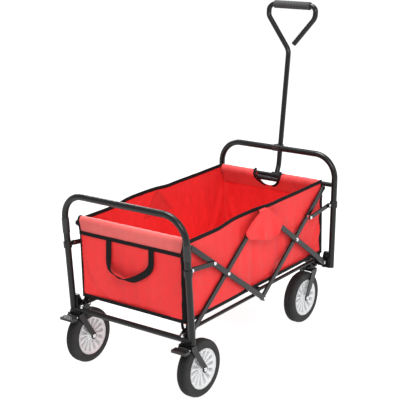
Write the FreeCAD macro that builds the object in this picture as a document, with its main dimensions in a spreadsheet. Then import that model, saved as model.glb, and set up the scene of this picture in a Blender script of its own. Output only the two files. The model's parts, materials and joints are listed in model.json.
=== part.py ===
import FreeCAD, Part
import math
import os
import Sketcher

# Folding utility wagon with a pull handle, in millimetres.
# +X is the pull-handle end, +Y the left side, +Z up. The wagon is drawn about the middle of its tub,
# and its parts are then written about the middle of the whole wagon, on the ground.

V = FreeCAD.Vector
ALONG_X = V(1, 0, 0)
ALONG_Y = V(0, 1, 0)
ALONG_Z = V(0, 0, 1)
RIGHT, LEFT = -1, 1
REAR, FRONT = -1, 1

doc = FreeCAD.newDocument("folding_wagon")
sheet = doc.addObject("Spreadsheet::Sheet", "sizes")

SIZES = [
    ("hoop_x", 405, "tub centre to the foot of each end hoop"),
    ("hoop_lean", 3, "outward lean of the end hoops about their bottom bars, in degrees"),
    ("hoop_y", 240, "wagon centre to each upright"),
    ("hoop_top", 585.5, "height of the hoop's top rail"),
    ("hoop_foot", 187, "height of the uprights' lower ends"),
    ("hoop_bend", 80, "bend radius of the hoop's corners"),
    ("hoop_radius", 10.5, "outside radius of the hoop tube"),
    ("tube_wall", 1.5, "wall of the round tubes"),
    ("low_bar_height", 195, "height of the bottom bars"),
    ("low_bar_radius", 9, "outside radius of the bottom bars"),
    ("cross_height", 484, "height of the front cross tube that carries the pull handle"),
    ("cross_radius", 8, "outside radius of the front cross tube"),
    ("pivot_inset", 24, "hoop plane to the scissor's end pivots"),
    ("low_pivot_height", 210, "height of the scissor's lower end pivots"),
    ("link_angle", 36.5, "slope of the scissor links with the wagon open, in degrees"),
    ("cross_pivot_x", 198, "wagon centre to the scissor's crossing pivots"),
    ("link_halfwidth", 9, "half width of a scissor link"),
    ("link_thick", 7, "thickness of a scissor link"),
    ("outer_layer", 222, "inner face of the outer layer of links"),
    ("inner_layer", 214.6, "inner face of the inner layer of links"),
    ("brace_layer", 229.4, "inner face of the short braces"),
    ("brace_thick", 5, "thickness of a short brace"),
    ("brace_halfwidth", 8, "half width of a short brace"),
    ("brace_from_top", 130, "scissor link's top pivot to the brace's pivot, along the link"),
    ("brace_inset", 22, "hoop plane to the brace's pivot on the upright"),
    ("brace_height", 416.262, "height of the brace's pivot along the upright, before it leans"),
    ("pin_radius", 3, "radius of the pivot pins"),
    ("pin_play", 0.05, "radial play of a pin in its eye"),
    ("top_bar_radius", 7.5, "radius of the bars that carry the fabric's ends"),
    ("rail_height", 214, "height of the folding floor rails"),
    ("rail_radius", 6, "radius of the floor rails"),
    ("rear_rail_y", 204, "wagon centre to the rear floor rails"),
    ("front_rail_y", 189, "wagon centre to the front floor rails"),
    ("tyre_radius", 91, "outside radius of a tyre"),
    ("tyre_halfwidth", 20, "half width of a tyre"),
    ("rim_radius", 64, "radius where the tyre sits on the rim"),
    ("rear_track", 226, "wagon centre to the middle of a rear wheel"),
    ("rear_axle_inset", 47, "rear hoop plane to the rear axles"),
    ("caster_track", 173, "wagon centre to a front caster's swivel axis"),
    ("caster_inset", 42, "front hoop plane to the swivel axes"),
    ("caster_trail", 48, "swivel axis to the front axles"),
    ("fork_inside", 22.5, "half of the gap between a fork's legs"),
    ("fork_plate", 3, "thickness of a fork's legs"),
    ("axle_radius", 4, "radius of the axles"),
    ("handle_radius", 9, "outside radius of the pull handle's tube"),
    ("handle_lean", 9, "outward lean of the pull handle, in degrees"),
    ("loop_low", 925, "height of the bottom of the handle's loop"),
    ("loop_wide", 96, "half width of the handle's loop"),
    ("loop_shoulder", 40, "height of the loop's upright sides, under its top"),
    ("loop_high", 158, "height of the loop along the handle"),
    ("grip_radius", 14, "outside radius of the grip"),
    ("grip_half", 74, "half length of the grip"),
    ("tub_x", 397, "half length of the fabric tub"),
    ("tub_y", 213, "half width of the fabric tub"),
    ("tub_floor", 240, "underside of the tub"),
    ("tub_top", 500, "top edge of the tub"),
    ("cloth", 2.5, "thickness of the fabric in this model"),
    ("origin_shift", 40, "tub centre to the middle of the whole wagon, towards the handle"),
]
for row, (alias, value, note) in enumerate(SIZES, start=1):
    sheet.set(f"A{row}", note)
    sheet.set(f"B{row}", str(value))
    sheet.setAlias(f"B{row}", alias)
doc.recompute()


def size(alias):
    return float(sheet.get(alias))


# Positions that follow from the sizes. The right side of the rear half is worked out; the rest mirrors it.
SLOPE = math.radians(size("link_angle"))
HOOP_X = size("hoop_x")
END_X = HOOP_X - size("pivot_inset")
LOW_Z = size("low_pivot_height")
END_TO_CROSS = (END_X - size("cross_pivot_x")) / math.cos(SLOPE)
LINK_LENGTH = END_X / math.cos(SLOPE)
CROSS_Z = LOW_Z + END_TO_CROSS * math.sin(SLOPE)
TOP_Z = LOW_Z + 2 * END_TO_CROSS * math.sin(SLOPE)
MID_TOP_Z = LOW_Z + LINK_LENGTH * math.sin(SLOPE)
MID_LOW_Z = TOP_Z - LINK_LENGTH * math.sin(SLOPE)
BRACE_PIN_X = END_X - size("brace_from_top") * math.cos(SLOPE)
BRACE_PIN_Z = TOP_Z - size("brace_from_top") * math.sin(SLOPE)
PIN_HOLE = size("pin_radius") + size("pin_play")

exported = {}


def keep(node, item):
    """Names a finished sub-part and lists it for export."""
    item.Label = node
    exported[node] = item
    return item


def solid_feature(node, shape):
    """A sub-part made from a swept or combined shape."""
    item = doc.addObject("Part::Feature", node)
    item.Shape = shape
    item.Placement = shape.Placement
    return keep(node, item)


LEAN_AXIS = V(-HOOP_X, 0, size("low_bar_height"))


def leaned(shape):
    """A piece of the rear hoop, drawn upright and then tipped outward about the bottom bar."""
    tipped = shape.copy()
    tipped.rotate(LEAN_AXIS, ALONG_Y, -size("hoop_lean"))
    return tipped


def leaned_point(x, z):
    """Where a point of the upright rear hoop goes when the hoop leans."""
    tip = FreeCAD.Placement(V(0, 0, 0), FreeCAD.Rotation(ALONG_Y, -size("hoop_lean")), LEAN_AXIS)
    return tip.multVec(V(x, 0, z))


def both_sides(shape):
    """A shape and its copy mirrored to the other side of the wagon."""
    return Part.makeCompound([shape, shape.mirror(V(0, 0, 0), ALONG_Y)])


def bent_path(points, bends):
    """Straight runs through the points, with each corner rounded to its own bend radius."""
    edges = []
    start = points[0]
    for before, corner, after, bend in zip(points, points[1:], points[2:], bends):
        come = (corner - before).normalize()
        leave = (after - corner).normalize()
        half = come.getAngle(leave) / 2
        setback = bend * math.tan(half)
        first = corner - come * setback
        last = corner + leave * setback
        middle = corner + (leave - come).normalize() * (bend / math.cos(half) - bend)
        edges.append(Part.makeLine(start, first))
        edges.append(Part.Arc(first, middle, last).toShape())
        start = last
    edges.append(Part.makeLine(start, points[-1]))
    return Part.Wire(edges)


def swept(path, section):
    return path.makePipeShell([section], True, True)


def round_section(at, direction, radius):
    return Part.Wire(Part.makeCircle(radius, at, direction))


def bent_rod(points, bends, radius):
    path = bent_path(points, bends)
    return swept(path, round_section(points[0], points[1] - points[0], radius))


def bent_tube(points, bends, radius, wall):
    return bent_rod(points, bends, radius).cut(bent_rod(points, bends, radius - wall))


def disc(radius, low, high, x, z):
    """A round solid on an axis along Y, from low to high."""
    return Part.makeCylinder(radius, high - low, V(x, low, z), ALONG_Y)


def upright_disc(radius, low, high, x, y):
    return Part.makeCylinder(radius, high - low, V(x, y, low), ALONG_Z)


def block(x0, x1, y0, y1, z0, z1):
    return Part.makeBox(x1 - x0, y1 - y0, z1 - z0, V(x0, y0, z0))


def side_plate(points, low, high):
    """A flat plate with this outline in X and Z, from low to high in Y."""
    outline = [V(x, low, z) for x, z in points]
    return Part.Face(Part.makePolygon(outline + outline[:1])).extrude(V(0, high - low, 0))


def rounded(shape, radius, chosen):
    """Fillets the edges for which chosen(edge) holds."""
    edges = [edge for edge in shape.Edges if chosen(edge)]
    return shape.makeFillet(radius, edges)


def rivet(x, z, outside, inside, head_out=True):
    """A pivot pin on the right-hand side with a domed head outboard, flush at its inner end."""
    radius = size("pin_radius")
    shank = disc(radius, -outside, -inside, x, z)
    if not head_out:
        return shank
    head = disc(6, -outside - 2.6, -outside, x, z)
    head = rounded(head, 2.0, lambda edge: edge.CenterOfMass.y < -outside - 2)
    return shank.fuse(head).removeSplitter()


# ---------------------------------------------------------------- frame tubes

def hoop():
    """The rear hoop: two leaning uprights and the top rail, bent from one tube."""
    y, foot, top = size("hoop_y"), size("hoop_foot"), size("hoop_top")
    points = [V(-HOOP_X, -y, foot), V(-HOOP_X, -y, top), V(-HOOP_X, y, top), V(-HOOP_X, y, foot)]
    bend = size("hoop_bend")
    return leaned(bent_tube(points, [bend, bend], size("hoop_radius"), size("tube_wall")))


def cross_member(node, end, radius, height):
    """A straight tube between the uprights, its ends shaped to fit round them."""
    foot = V(end * HOOP_X, 0, size("low_bar_height"))
    lean = FreeCAD.Rotation(ALONG_Y, end * size("hoop_lean"))
    tip = FreeCAD.Placement(V(0, 0, 0), lean, foot)
    tube = doc.addObject("Part::Cylinder", node + "_outside")
    tube.setExpression("Radius", f"sizes.{radius}")
    tube.setExpression("Height", "2 * sizes.hoop_y")
    bore = doc.addObject("Part::Cylinder", node + "_bore")
    bore.setExpression("Radius", f"sizes.{radius} - sizes.tube_wall")
    bore.setExpression("Height", "2 * sizes.hoop_y")
    for item in (tube, bore):
        flat = FreeCAD.Rotation(ALONG_X, -90)
        item.Placement = tip * FreeCAD.Placement(V(end * HOOP_X, -size("hoop_y"), size(height)), flat)
    uprights = []
    for side in (RIGHT, LEFT):
        upright = doc.addObject("Part::Cylinder", f"{node}_upright_{'left' if side > 0 else 'right'}")
        upright.setExpression("Radius", "sizes.hoop_radius")
        upright.setExpression("Height", "sizes.hoop_top")
        upright.Placement = tip * FreeCAD.Placement(
            V(end * HOOP_X, side * size("hoop_y"), 0), FreeCAD.Rotation()
        )
        uprights.append(upright)
    cutters = doc.addObject("Part::MultiFuse", node + "_cutters")
    cutters.Shapes = [bore] + uprights
    cut = doc.addObject("Part::Cut", node)
    cut.Base, cut.Tool = tube, cutters
    return keep(node, cut)


def at_front(shape):
    """A pair of rear pieces turned to the front end."""
    turned = shape.copy()
    turned.rotate(V(0, 0, 0), ALONG_Z, 180)
    return turned


solid_feature("rear_hoop", hoop())
solid_feature("front_hoop", at_front(hoop()))
cross_member("rear_bottom_bar", REAR, "low_bar_radius", "low_bar_height")
cross_member("front_bottom_bar", FRONT, "low_bar_radius", "low_bar_height")
cross_member("front_cross_tube", FRONT, "cross_radius", "cross_height")


# ---------------------------------------------------------------- collars, brackets and rivets on the hoops

def ring_on_upright(low, high, radius):
    """A sleeve round the rear right upright, before it leans."""
    x, y = -HOOP_X, -size("hoop_y")
    sleeve = upright_disc(radius, low, high, x, y)
    sleeve = rounded(sleeve, 1.2, lambda edge: len(edge.Vertexes) == 1)
    return sleeve.cut(upright_disc(size("hoop_radius"), low - 1, high + 1, x, y))


def brace_collar():
    """The clamp that carries the short brace, with its lug outboard of the brace."""
    z = size("brace_height")
    low, high = z - 11, z + 11
    clamp = ring_on_upright(low, high, 13.6)
    lug_in = size("brace_layer") + size("brace_thick") + 0.3
    lug_out = lug_in + 4.5
    pin_x = -HOOP_X + size("brace_inset")
    lug = block(-HOOP_X + 10, pin_x, -lug_out, -lug_in, z - 8, z + 8)
    lug = lug.fuse(disc(8, -lug_out, -lug_in, pin_x, z))
    lug = lug.cut(upright_disc(size("hoop_radius"), low, high, -HOOP_X, -size("hoop_y")))
    hole = disc(size("pin_radius"), -lug_out - 1, -lug_in + 1, pin_x, z)
    return leaned(clamp.fuse(lug).cut(hole).removeSplitter())


def corner_bracket(near, far):
    """The plate at the foot of an upright that carries a scissor link's lower pivot."""
    inside = -HOOP_X + size("hoop_radius")
    bar_z = size("low_bar_height")
    plate = side_plate(
        [
            (-HOOP_X, bar_z - 8),
            (inside + 6, bar_z - 8),
            (-END_X + 9, LOW_Z - 9),
            (-END_X + 10, LOW_Z + 6),
            (-END_X - 2, LOW_Z + 11),
            (inside, LOW_Z + 34),
            (-HOOP_X, LOW_Z + 34),
        ],
        -far,
        -near,
    )
    web = block(-HOOP_X, inside + 1.5, -size("hoop_y"), -near, bar_z - 8, LOW_Z + 34)
    shape = plate.fuse(web)
    upright = leaned(upright_disc(size("hoop_radius"), 0, 400, -HOOP_X, -size("hoop_y")))
    bar = disc(size("low_bar_radius"), -size("hoop_y"), 0, -HOOP_X, bar_z)
    hole = disc(size("pin_radius"), -far - 1, -near + 1, -END_X, LOW_Z)
    return shape.cut(upright).cut(bar).cut(hole).removeSplitter()


def floor_lug(y):
    """The pair of ears on a bottom bar in which a floor rail turns."""
    bar_z, rail_z = size("low_bar_height"), size("rail_height")
    ears = []
    for low in (y - size("rail_radius") - 3.8, y + size("rail_radius") + 0.8):
        ear = side_plate(
            [
                (-HOOP_X - 4, bar_z),
                (-HOOP_X + 14, bar_z - 4),
                (-END_X + 8, rail_z - 6),
                (-END_X + 8, rail_z + 5),
                (-END_X - 6, rail_z + 8),
                (-HOOP_X - 4, bar_z + 13),
            ],
            -low - 3,
            -low,
        )
        ears.append(ear)
    shape = Part.makeCompound(ears)
    bar = disc(size("low_bar_radius"), -size("hoop_y"), 0, -HOOP_X, bar_z)
    hole = disc(size("pin_radius"), -y - 20, -y + 20, -END_X, rail_z)
    return shape.cut(bar).cut(hole)


def lug_pin(y):
    reach = size("rail_radius") + 4.3
    return disc(size("pin_radius"), -y - reach, -y + reach, -END_X, size("rail_height"))


OUTER_FACE = size("outer_layer") + size("link_thick")
INNER_FACE = size("inner_layer") + size("link_thick")
LUG_FACE = size("brace_layer") + size("brace_thick") + 0.3 + 4.5

rear_collars = both_sides(brace_collar())
rear_sleeves = both_sides(leaned(ring_on_upright(456, 505, 11.8)))
solid_feature("rear_brace_collars", rear_collars)
solid_feature("rear_upright_sleeves", rear_sleeves)
solid_feature("front_brace_collars", at_front(both_sides(brace_collar())))

rear_bracket = corner_bracket(size("outer_layer") + 0.4, size("outer_layer") + 5.4)
front_bracket = corner_bracket(size("inner_layer") + 1.4, size("inner_layer") + 6.4)
rear_y, front_y = size("rear_rail_y"), size("front_rail_y")
rear_plates = both_sides(Part.makeCompound([rear_bracket, floor_lug(rear_y)]))
front_plates = both_sides(Part.makeCompound([front_bracket, floor_lug(front_y)]))
solid_feature("rear_hinge_brackets", rear_plates)
solid_feature("front_hinge_brackets", at_front(front_plates))

BRACE_FOOT = leaned_point(-HOOP_X + size("brace_inset"), size("brace_height"))
rear_pins = [
    rivet(-END_X, LOW_Z, size("outer_layer") + 5.4, size("inner_layer")),
    rivet(BRACE_FOOT.x, BRACE_FOOT.z, LUG_FACE, size("brace_layer")),
    lug_pin(rear_y),
]
front_pins = [
    rivet(-END_X, LOW_Z, OUTER_FACE, size("inner_layer") + 1.4),
    rivet(BRACE_FOOT.x, BRACE_FOOT.z, LUG_FACE, size("brace_layer")),
    lug_pin(front_y),
]
solid_feature("rear_frame_rivets", both_sides(Part.makeCompound(rear_pins)))
solid_feature("front_frame_rivets", at_front(both_sides(Part.makeCompound(front_pins))))


# ---------------------------------------------------------------- scissor links and braces

def bind(sketch, constraint, expression):
    """Adds a dimension to a sketch and ties it to the spreadsheet."""
    number = sketch.addConstraint(constraint)
    sketch.setExpression(f"Constraints[{number}]", expression)


def bar_body(node, length, halfwidth, thick, holes):
    """A flat bar with round ends, its first eye at the body's origin and its length along X.

    holes lists (distance along the bar, radius expression); each length is an expression.
    """
    body = doc.addObject("PartDesign::Body", node + "_body")
    sketch = body.newObject("Sketcher::SketchObject", node + "_outline")
    plane = next(item for item in body.Origin.OriginFeatures if item.Role == "XZ_Plane")
    sketch.AttachmentSupport = (plane, [""])
    sketch.MapMode = "FlatFace"
    wide = size(halfwidth)
    circle_a = Part.Circle(V(0, 0, 0), ALONG_Z, wide)
    circle_b = Part.Circle(V(length[0], 0, 0), ALONG_Z, wide)
    first = sketch.addGeometry(Part.ArcOfCircle(circle_a, math.pi / 2, 3 * math.pi / 2), False)
    last = sketch.addGeometry(Part.ArcOfCircle(circle_b, -math.pi / 2, math.pi / 2), False)
    top = sketch.addGeometry(Part.LineSegment(V(0, wide, 0), V(length[0], wide, 0)), False)
    low = sketch.addGeometry(Part.LineSegment(V(0, -wide, 0), V(length[0], -wide, 0)), False)
    sketch.addConstraint(Sketcher.Constraint("Coincident", first, 3, -1, 1))
    sketch.addConstraint(Sketcher.Constraint("PointOnObject", last, 3, -1))
    sketch.addConstraint(Sketcher.Constraint("Tangent", first, 1, top, 1))
    sketch.addConstraint(Sketcher.Constraint("Tangent", first, 2, low, 1))
    sketch.addConstraint(Sketcher.Constraint("Tangent", last, 2, top, 2))
    sketch.addConstraint(Sketcher.Constraint("Tangent", last, 1, low, 2))
    bind(sketch, Sketcher.Constraint("Radius", first, wide), f"sizes.{halfwidth}")
    bind(sketch, Sketcher.Constraint("DistanceX", first, 3, last, 3, length[0]), length[1])
    for distance, radius, expression in holes:
        eye = Part.Circle(V(distance, 0, 0), ALONG_Z, radius)
        hole = sketch.addGeometry(eye, False)
        bind(sketch, Sketcher.Constraint("Radius", hole, radius), expression)
        if distance:
            sketch.addConstraint(Sketcher.Constraint("PointOnObject", hole, 3, -1))
            sketch.addConstraint(Sketcher.Constraint("DistanceX", first, 3, hole, 3, distance))
        else:
            sketch.addConstraint(Sketcher.Constraint("Coincident", hole, 3, -1, 1))
    pad = body.newObject("PartDesign::Pad", node + "_plate")
    pad.Profile = sketch
    pad.setExpression("Length", f"sizes.{thick}")
    doc.recompute()
    flats = [face for face in pad.Shape.Faces if abs(face.normalAt(0, 0).y) > 0.99]
    rims = [edge for face in flats for edge in face.OuterWire.Edges]
    names = [
        f"Edge{number}"
        for number, edge in enumerate(pad.Shape.Edges, start=1)
        if any(edge.isSame(rim) for rim in rims)
    ]
    soft = body.newObject("PartDesign::Fillet", node + "_soft_edges")
    soft.Base = (pad, names)
    soft.Radius = 2
    doc.recompute()
    return body


def mirrored(node, source, normal):
    item = doc.addObject("Part::Mirroring", node)
    item.Source = source
    item.Base = V(0, 0, 0)
    item.Normal = normal
    return keep(node, item)


LENGTH_RULE = "(sizes.hoop_x - sizes.pivot_inset) / cos(sizes.link_angle * 1deg)"
TIGHT = (size("pin_radius"), "sizes.pin_radius")
LOOSE = (PIN_HOLE, "sizes.pin_radius + sizes.pin_play")


def scissor_link(node, start, angle, layer, eyes):
    """One link: start is its first eye's (x, z) and the pad grows outboard from the layer's inner face."""
    holes = [(distance, *fit) for distance, fit in eyes]
    body = bar_body(node, (LINK_LENGTH, LENGTH_RULE), "link_halfwidth", "link_thick", holes)
    turn = FreeCAD.Rotation(ALONG_Y, -math.degrees(angle))
    body.Placement = FreeCAD.Placement(V(start[0], -size(layer), start[1]), turn)
    return keep(node, body)


FROM_TOP = size("brace_from_top")
rising = scissor_link(
    "rear_rising_link_right",
    (-END_X, LOW_Z),
    SLOPE,
    "inner_layer",
    [(0, LOOSE), (END_TO_CROSS, LOOSE), (LINK_LENGTH, TIGHT)],
)
falling = scissor_link(
    "rear_falling_link_right",
    (-END_X, TOP_Z),
    -SLOPE,
    "outer_layer",
    [(0, LOOSE), (FROM_TOP, TIGHT), (END_TO_CROSS, TIGHT), (LINK_LENGTH, TIGHT)],
)
front_rising = scissor_link(
    "front_rising_link_right",
    (END_X, LOW_Z),
    math.pi - SLOPE,
    "outer_layer",
    [(0, LOOSE), (END_TO_CROSS, LOOSE), (LINK_LENGTH, LOOSE)],
)
front_falling = scissor_link(
    "front_falling_link_right",
    (END_X, TOP_Z),
    math.pi + SLOPE,
    "inner_layer",
    [(0, LOOSE), (FROM_TOP, TIGHT), (END_TO_CROSS, TIGHT), (LINK_LENGTH, LOOSE)],
)
mirrored("rear_rising_link_left", rising, ALONG_Y)
mirrored("rear_falling_link_left", falling, ALONG_Y)
mirrored("front_rising_link_left", front_rising, ALONG_Y)
mirrored("front_falling_link_left", front_falling, ALONG_Y)

CROSS_X = size("cross_pivot_x")
inner = size("inner_layer")
falling_pins = Part.makeCompound(
    [
        rivet(-CROSS_X, CROSS_Z, OUTER_FACE, inner),
        rivet(0, MID_LOW_Z, OUTER_FACE, inner),
        disc(size("pin_radius"), -OUTER_FACE, -size("outer_layer"), -BRACE_PIN_X, BRACE_PIN_Z),
    ]
)
rising_pins = rivet(0, MID_TOP_Z, OUTER_FACE, inner)
spacer = disc(7, -OUTER_FACE, -INNER_FACE, BRACE_PIN_X, BRACE_PIN_Z)
stem = disc(size("pin_radius"), -INNER_FACE, -inner, BRACE_PIN_X, BRACE_PIN_Z)
front_pins = Part.makeCompound([rivet(CROSS_X, CROSS_Z, OUTER_FACE, inner), spacer.fuse(stem)])
solid_feature("rear_crossing_rivets", both_sides(falling_pins))
solid_feature("middle_top_rivets", both_sides(rising_pins))
solid_feature("front_crossing_rivets", both_sides(front_pins))

BRACE_RUN = math.hypot(-BRACE_PIN_X - BRACE_FOOT.x, BRACE_PIN_Z - BRACE_FOOT.z)
BRACE_TILT = math.atan2(BRACE_PIN_Z - BRACE_FOOT.z, -BRACE_PIN_X - BRACE_FOOT.x)
brace = bar_body(
    "brace",
    (BRACE_RUN, f"{BRACE_RUN:.4f} mm"),
    "brace_halfwidth",
    "brace_thick",
    [(0, *LOOSE), (BRACE_RUN, *TIGHT)],
)
brace.Placement = FreeCAD.Placement(
    V(BRACE_FOOT.x, -size("brace_layer"), BRACE_FOOT.z),
    FreeCAD.Rotation(ALONG_Y, -math.degrees(BRACE_TILT)),
)
doc.recompute()
solid_feature("rear_braces", both_sides(brace.Shape))
solid_feature("front_braces", at_front(both_sides(brace.Shape)))
brace_face = size("brace_layer") + size("brace_thick")
brace_rivet = rivet(-BRACE_PIN_X, BRACE_PIN_Z, brace_face, size("brace_layer"))
solid_feature("rear_brace_rivets", both_sides(brace_rivet))
solid_feature("front_brace_rivets", at_front(both_sides(brace_rivet)))


def top_bar(end, reach, outside):
    """The bar under the fabric's top edge, with a stub that turns in each link's eye."""
    bar = disc(size("top_bar_radius"), -reach, reach, end * END_X, TOP_Z)
    stub = disc(size("pin_radius"), -outside, outside, end * END_X, TOP_Z)
    heads = [disc(5.5, -outside - 2, -outside, end * END_X, TOP_Z)]
    heads.append(disc(5.5, outside, outside + 2, end * END_X, TOP_Z))
    return bar.multiFuse([stub] + heads).removeSplitter()


solid_feature("rear_top_bar", top_bar(REAR, size("outer_layer") - 0.3, OUTER_FACE + 0.2))
solid_feature("front_top_bar", top_bar(FRONT, size("inner_layer") - 0.3, INNER_FACE + 0.2))


# ---------------------------------------------------------------- folding floor rails

def floor_rail(end, y, short):
    """A rail from its pivot at the bottom bar to the middle of the wagon, with a flattened eye."""
    z, radius = size("rail_height"), size("rail_radius")
    length = END_X - short
    rail = Part.makeCylinder(radius, length, V(end * END_X, -y, z), V(-end, 0, 0))
    eye = disc(radius + 1.5, -y - radius, -y + radius, end * END_X, z)
    hole = disc(PIN_HOLE, -y - 20, -y + 20, end * END_X, z)
    tip = Part.makeSphere(radius, V(end * short, -y, z))
    return rail.multiFuse([eye, tip]).cut(hole).removeSplitter()


rail_top = size("rail_height") + size("rail_radius")
solid_feature("rear_floor_rails", both_sides(floor_rail(REAR, rear_y, 0)))
solid_feature("front_floor_rails", both_sides(floor_rail(FRONT, front_y, 9)))
floor_tube = disc(7.5, -rear_y - 5, rear_y + 5, 0, rail_top + 7.5)
rails = floor_rail(REAR, rear_y, 0)
solid_feature("floor_cross_tube", floor_tube.cut(both_sides(rails)))


# ---------------------------------------------------------------- wheels

def profile_body(node, points):
    """A body turned about the wheel's axis from (radius, distance across) points."""
    body = doc.addObject("PartDesign::Body", node + "_body")
    sketch = body.newObject("Sketcher::SketchObject", node + "_profile")
    plane = next(item for item in body.Origin.OriginFeatures if item.Role == "XY_Plane")
    sketch.AttachmentSupport = (plane, [""])
    sketch.MapMode = "FlatFace"
    corners = [V(radius, across, 0) for radius, across in points]
    for start, stop in zip(corners, corners[1:] + corners[:1]):
        sketch.addGeometry(Part.LineSegment(start, stop), False)
    for number in range(len(corners)):
        following = (number + 1) % len(corners)
        sketch.addConstraint(Sketcher.Constraint("Coincident", number, 2, following, 1))
    turned = body.newObject("PartDesign::Revolution", node + "_turned")
    turned.Profile = sketch
    turned.ReferenceAxis = (sketch, ["V_Axis"])
    turned.Angle = 360
    doc.recompute()
    return body


def tyre_profile():
    outside, half, seat = size("tyre_radius"), size("tyre_halfwidth"), size("rim_radius")
    right = [
        (seat, half - 3),
        (seat + 3, half - 1),
        (seat + 9, half),
        (outside - 12, half - 0.3),
        (outside - 5, half - 2.5),
        (outside - 1.5, half - 7),
        (outside - 0.3, half - 11),
    ]
    grooves = []
    for middle in (7.2, 2.8):
        grooves += [
            (outside - 0.2, middle + 0.9),
            (outside - 2.2, middle + 0.6),
            (outside - 2.2, middle - 0.6),
            (outside, middle - 0.9),
        ]
    upper = right + grooves
    return upper + [(radius, -across) for radius, across in reversed(upper)]


def rim_profile():
    seat, half = size("rim_radius"), size("tyre_halfwidth")
    bore = size("axle_radius") + size("pin_play")
    upper = [
        (bore, 22),
        (10, 22),
        (11.5, 20.5),
        (12.5, 13),
        (24, 9.5),
        (48, 12.5),
        (58, 15.5),
        (seat - 2.2, half - 1.2),
        (seat - 0.8, half - 1.0),
        (seat, half - 3),
    ]
    return upper + [(radius, -across) for radius, across in reversed(upper)]


def pocket_tool(angle, side):
    """The wedge between two of a rim's ribs, on one side of the wheel."""
    outline = [V(17, 0, -1.9), V(54, 0, -6.6), V(56, 0, 0), V(54, 0, 6.6), V(17, 0, 1.9)]
    face = Part.Face(Part.makePolygon(outline + outline[:1]))
    wedge = face.extrude(V(0, 14, 0))
    wedge.translate(V(0, 4.0 if side > 0 else -18.0, 0))
    wedge.rotate(V(0, 0, 0), ALONG_Y, angle)
    return wedge


tyre = profile_body("tyre", tyre_profile())
rim = profile_body("rim", rim_profile())
doc.recompute()
RIBS = 14
tools = [pocket_tool(360 * n / RIBS, side) for n in range(RIBS) for side in (RIGHT, LEFT)]
ribbed = rim.Shape.copy().cut(Part.makeCompound(tools)).removeSplitter()

WHEELS = {
    "rear_right": (-HOOP_X + size("rear_axle_inset"), -size("rear_track")),
    "rear_left": (-HOOP_X + size("rear_axle_inset"), size("rear_track")),
    "front_right": (HOOP_X - size("caster_inset") - size("caster_trail"), -size("caster_track")),
    "front_left": (HOOP_X - size("caster_inset") - size("caster_trail"), size("caster_track")),
}
AXLE_Z = size("tyre_radius")
for name, (x, y) in WHEELS.items():
    for part_name, shape in (("tyre", tyre.Shape.copy()), ("rim", ribbed.copy())):
        item = doc.addObject("Part::Feature", f"{name}_{part_name}")
        item.Shape = shape
        item.Placement = FreeCAD.Placement(V(x, y, AXLE_Z), FreeCAD.Rotation())
        keep(f"{name}_{part_name}", item)


# ---------------------------------------------------------------- forks, axles and brake pedals

def fork(axle_x, head_back, head_front, plate_low, plate_top):
    """A pressed fork with its axle at (axle_x, 0) under a crown that starts at x = 0."""
    inside, thick = size("fork_inside"), size("fork_plate")
    eye = 11
    down = AXLE_Z
    toward = 1 if axle_x > 0 else -1
    back = (axle_x - toward * eye * 0.95, down + 4)
    ahead = (axle_x + toward * eye * 0.95, down + 5)
    legs = []
    for low in (inside, -inside - thick):
        outline = [
            (head_back, plate_low - 6),
            (head_back, plate_top),
            (head_front, plate_top),
            (head_front, plate_low - 6),
        ]
        tail = [ahead, back] if toward * (head_front - head_back) > 0 else [back, ahead]
        leg = side_plate(outline + tail, low, low + thick)
        leg = leg.fuse(disc(eye, low, low + thick, axle_x, down)).removeSplitter()
        legs.append(leg)
    crown = block(head_back, head_front, -inside - thick, inside + thick, plate_low, plate_top)
    shape = crown.multiFuse(legs).removeSplitter()
    corners = [
        edge
        for edge in shape.Edges
        if abs(edge.Length - (head_front - head_back)) < 0.01
        and abs(edge.CenterOfMass.z - plate_top) < 0.01
    ]
    shape = shape.makeFillet(2.4, corners)
    hole = disc(size("axle_radius"), -60, 60, axle_x, down)
    return shape.cut(hole)


def axle(axle_x):
    """The axle bolt with a domed head outside each leg."""
    reach = size("fork_inside") + size("fork_plate")
    shank = disc(size("axle_radius"), -reach, reach, axle_x, AXLE_Z)
    heads = [disc(7, reach, reach + 2.6, axle_x, AXLE_Z), disc(7, -reach - 2.6, -reach, axle_x, AXLE_Z)]
    heads = [
        rounded(head, 1.6, lambda edge: abs(abs(edge.CenterOfMass.y) - reach - 2.6) < 0.1) for head in heads
    ]
    return shank.multiFuse(heads).removeSplitter()


def moved(shape, x, y):
    copy = shape.copy()
    copy.translate(V(x, y, 0))
    return copy


FORK_TOP = size("low_bar_height") - size("low_bar_radius")
rear_fork = fork(size("rear_axle_inset"), -17, 7, 179.6, FORK_TOP - 0.1)
bar_clear = disc(size("low_bar_radius"), -60, 60, 0, size("low_bar_height"))
saddle = block(-12, 7, -20, 20, FORK_TOP - 0.1, FORK_TOP + 8).cut(bar_clear)
rear_right_fork = rear_fork.fuse(saddle).removeSplitter()
pedal_ear = side_plate([(-17, 172), (-17, 183), (-24, 183), (-28, 177), (-24, 171)], 16, 20)
ears = pedal_ear.fuse(pedal_ear.mirror(V(0, 0, 0), ALONG_Y))
ears = ears.cut(disc(2.5, -30, 30, -23, 177))
rear_right_fork = moved(rear_right_fork.fuse(ears), -HOOP_X, -size("rear_track"))
upright_clear = leaned(upright_disc(size("hoop_radius"), 100, 400, -HOOP_X, -size("hoop_y")))
rear_right_fork = rear_right_fork.cut(upright_clear).cut(rear_plates).removeSplitter()
solid_feature("rear_right_fork", rear_right_fork)
solid_feature("rear_left_fork", rear_right_fork.mirror(V(0, 0, 0), ALONG_Y))
rear_axle = moved(axle(size("rear_axle_inset")), -HOOP_X, -size("rear_track"))
solid_feature("rear_axles", both_sides(rear_axle))


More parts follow.
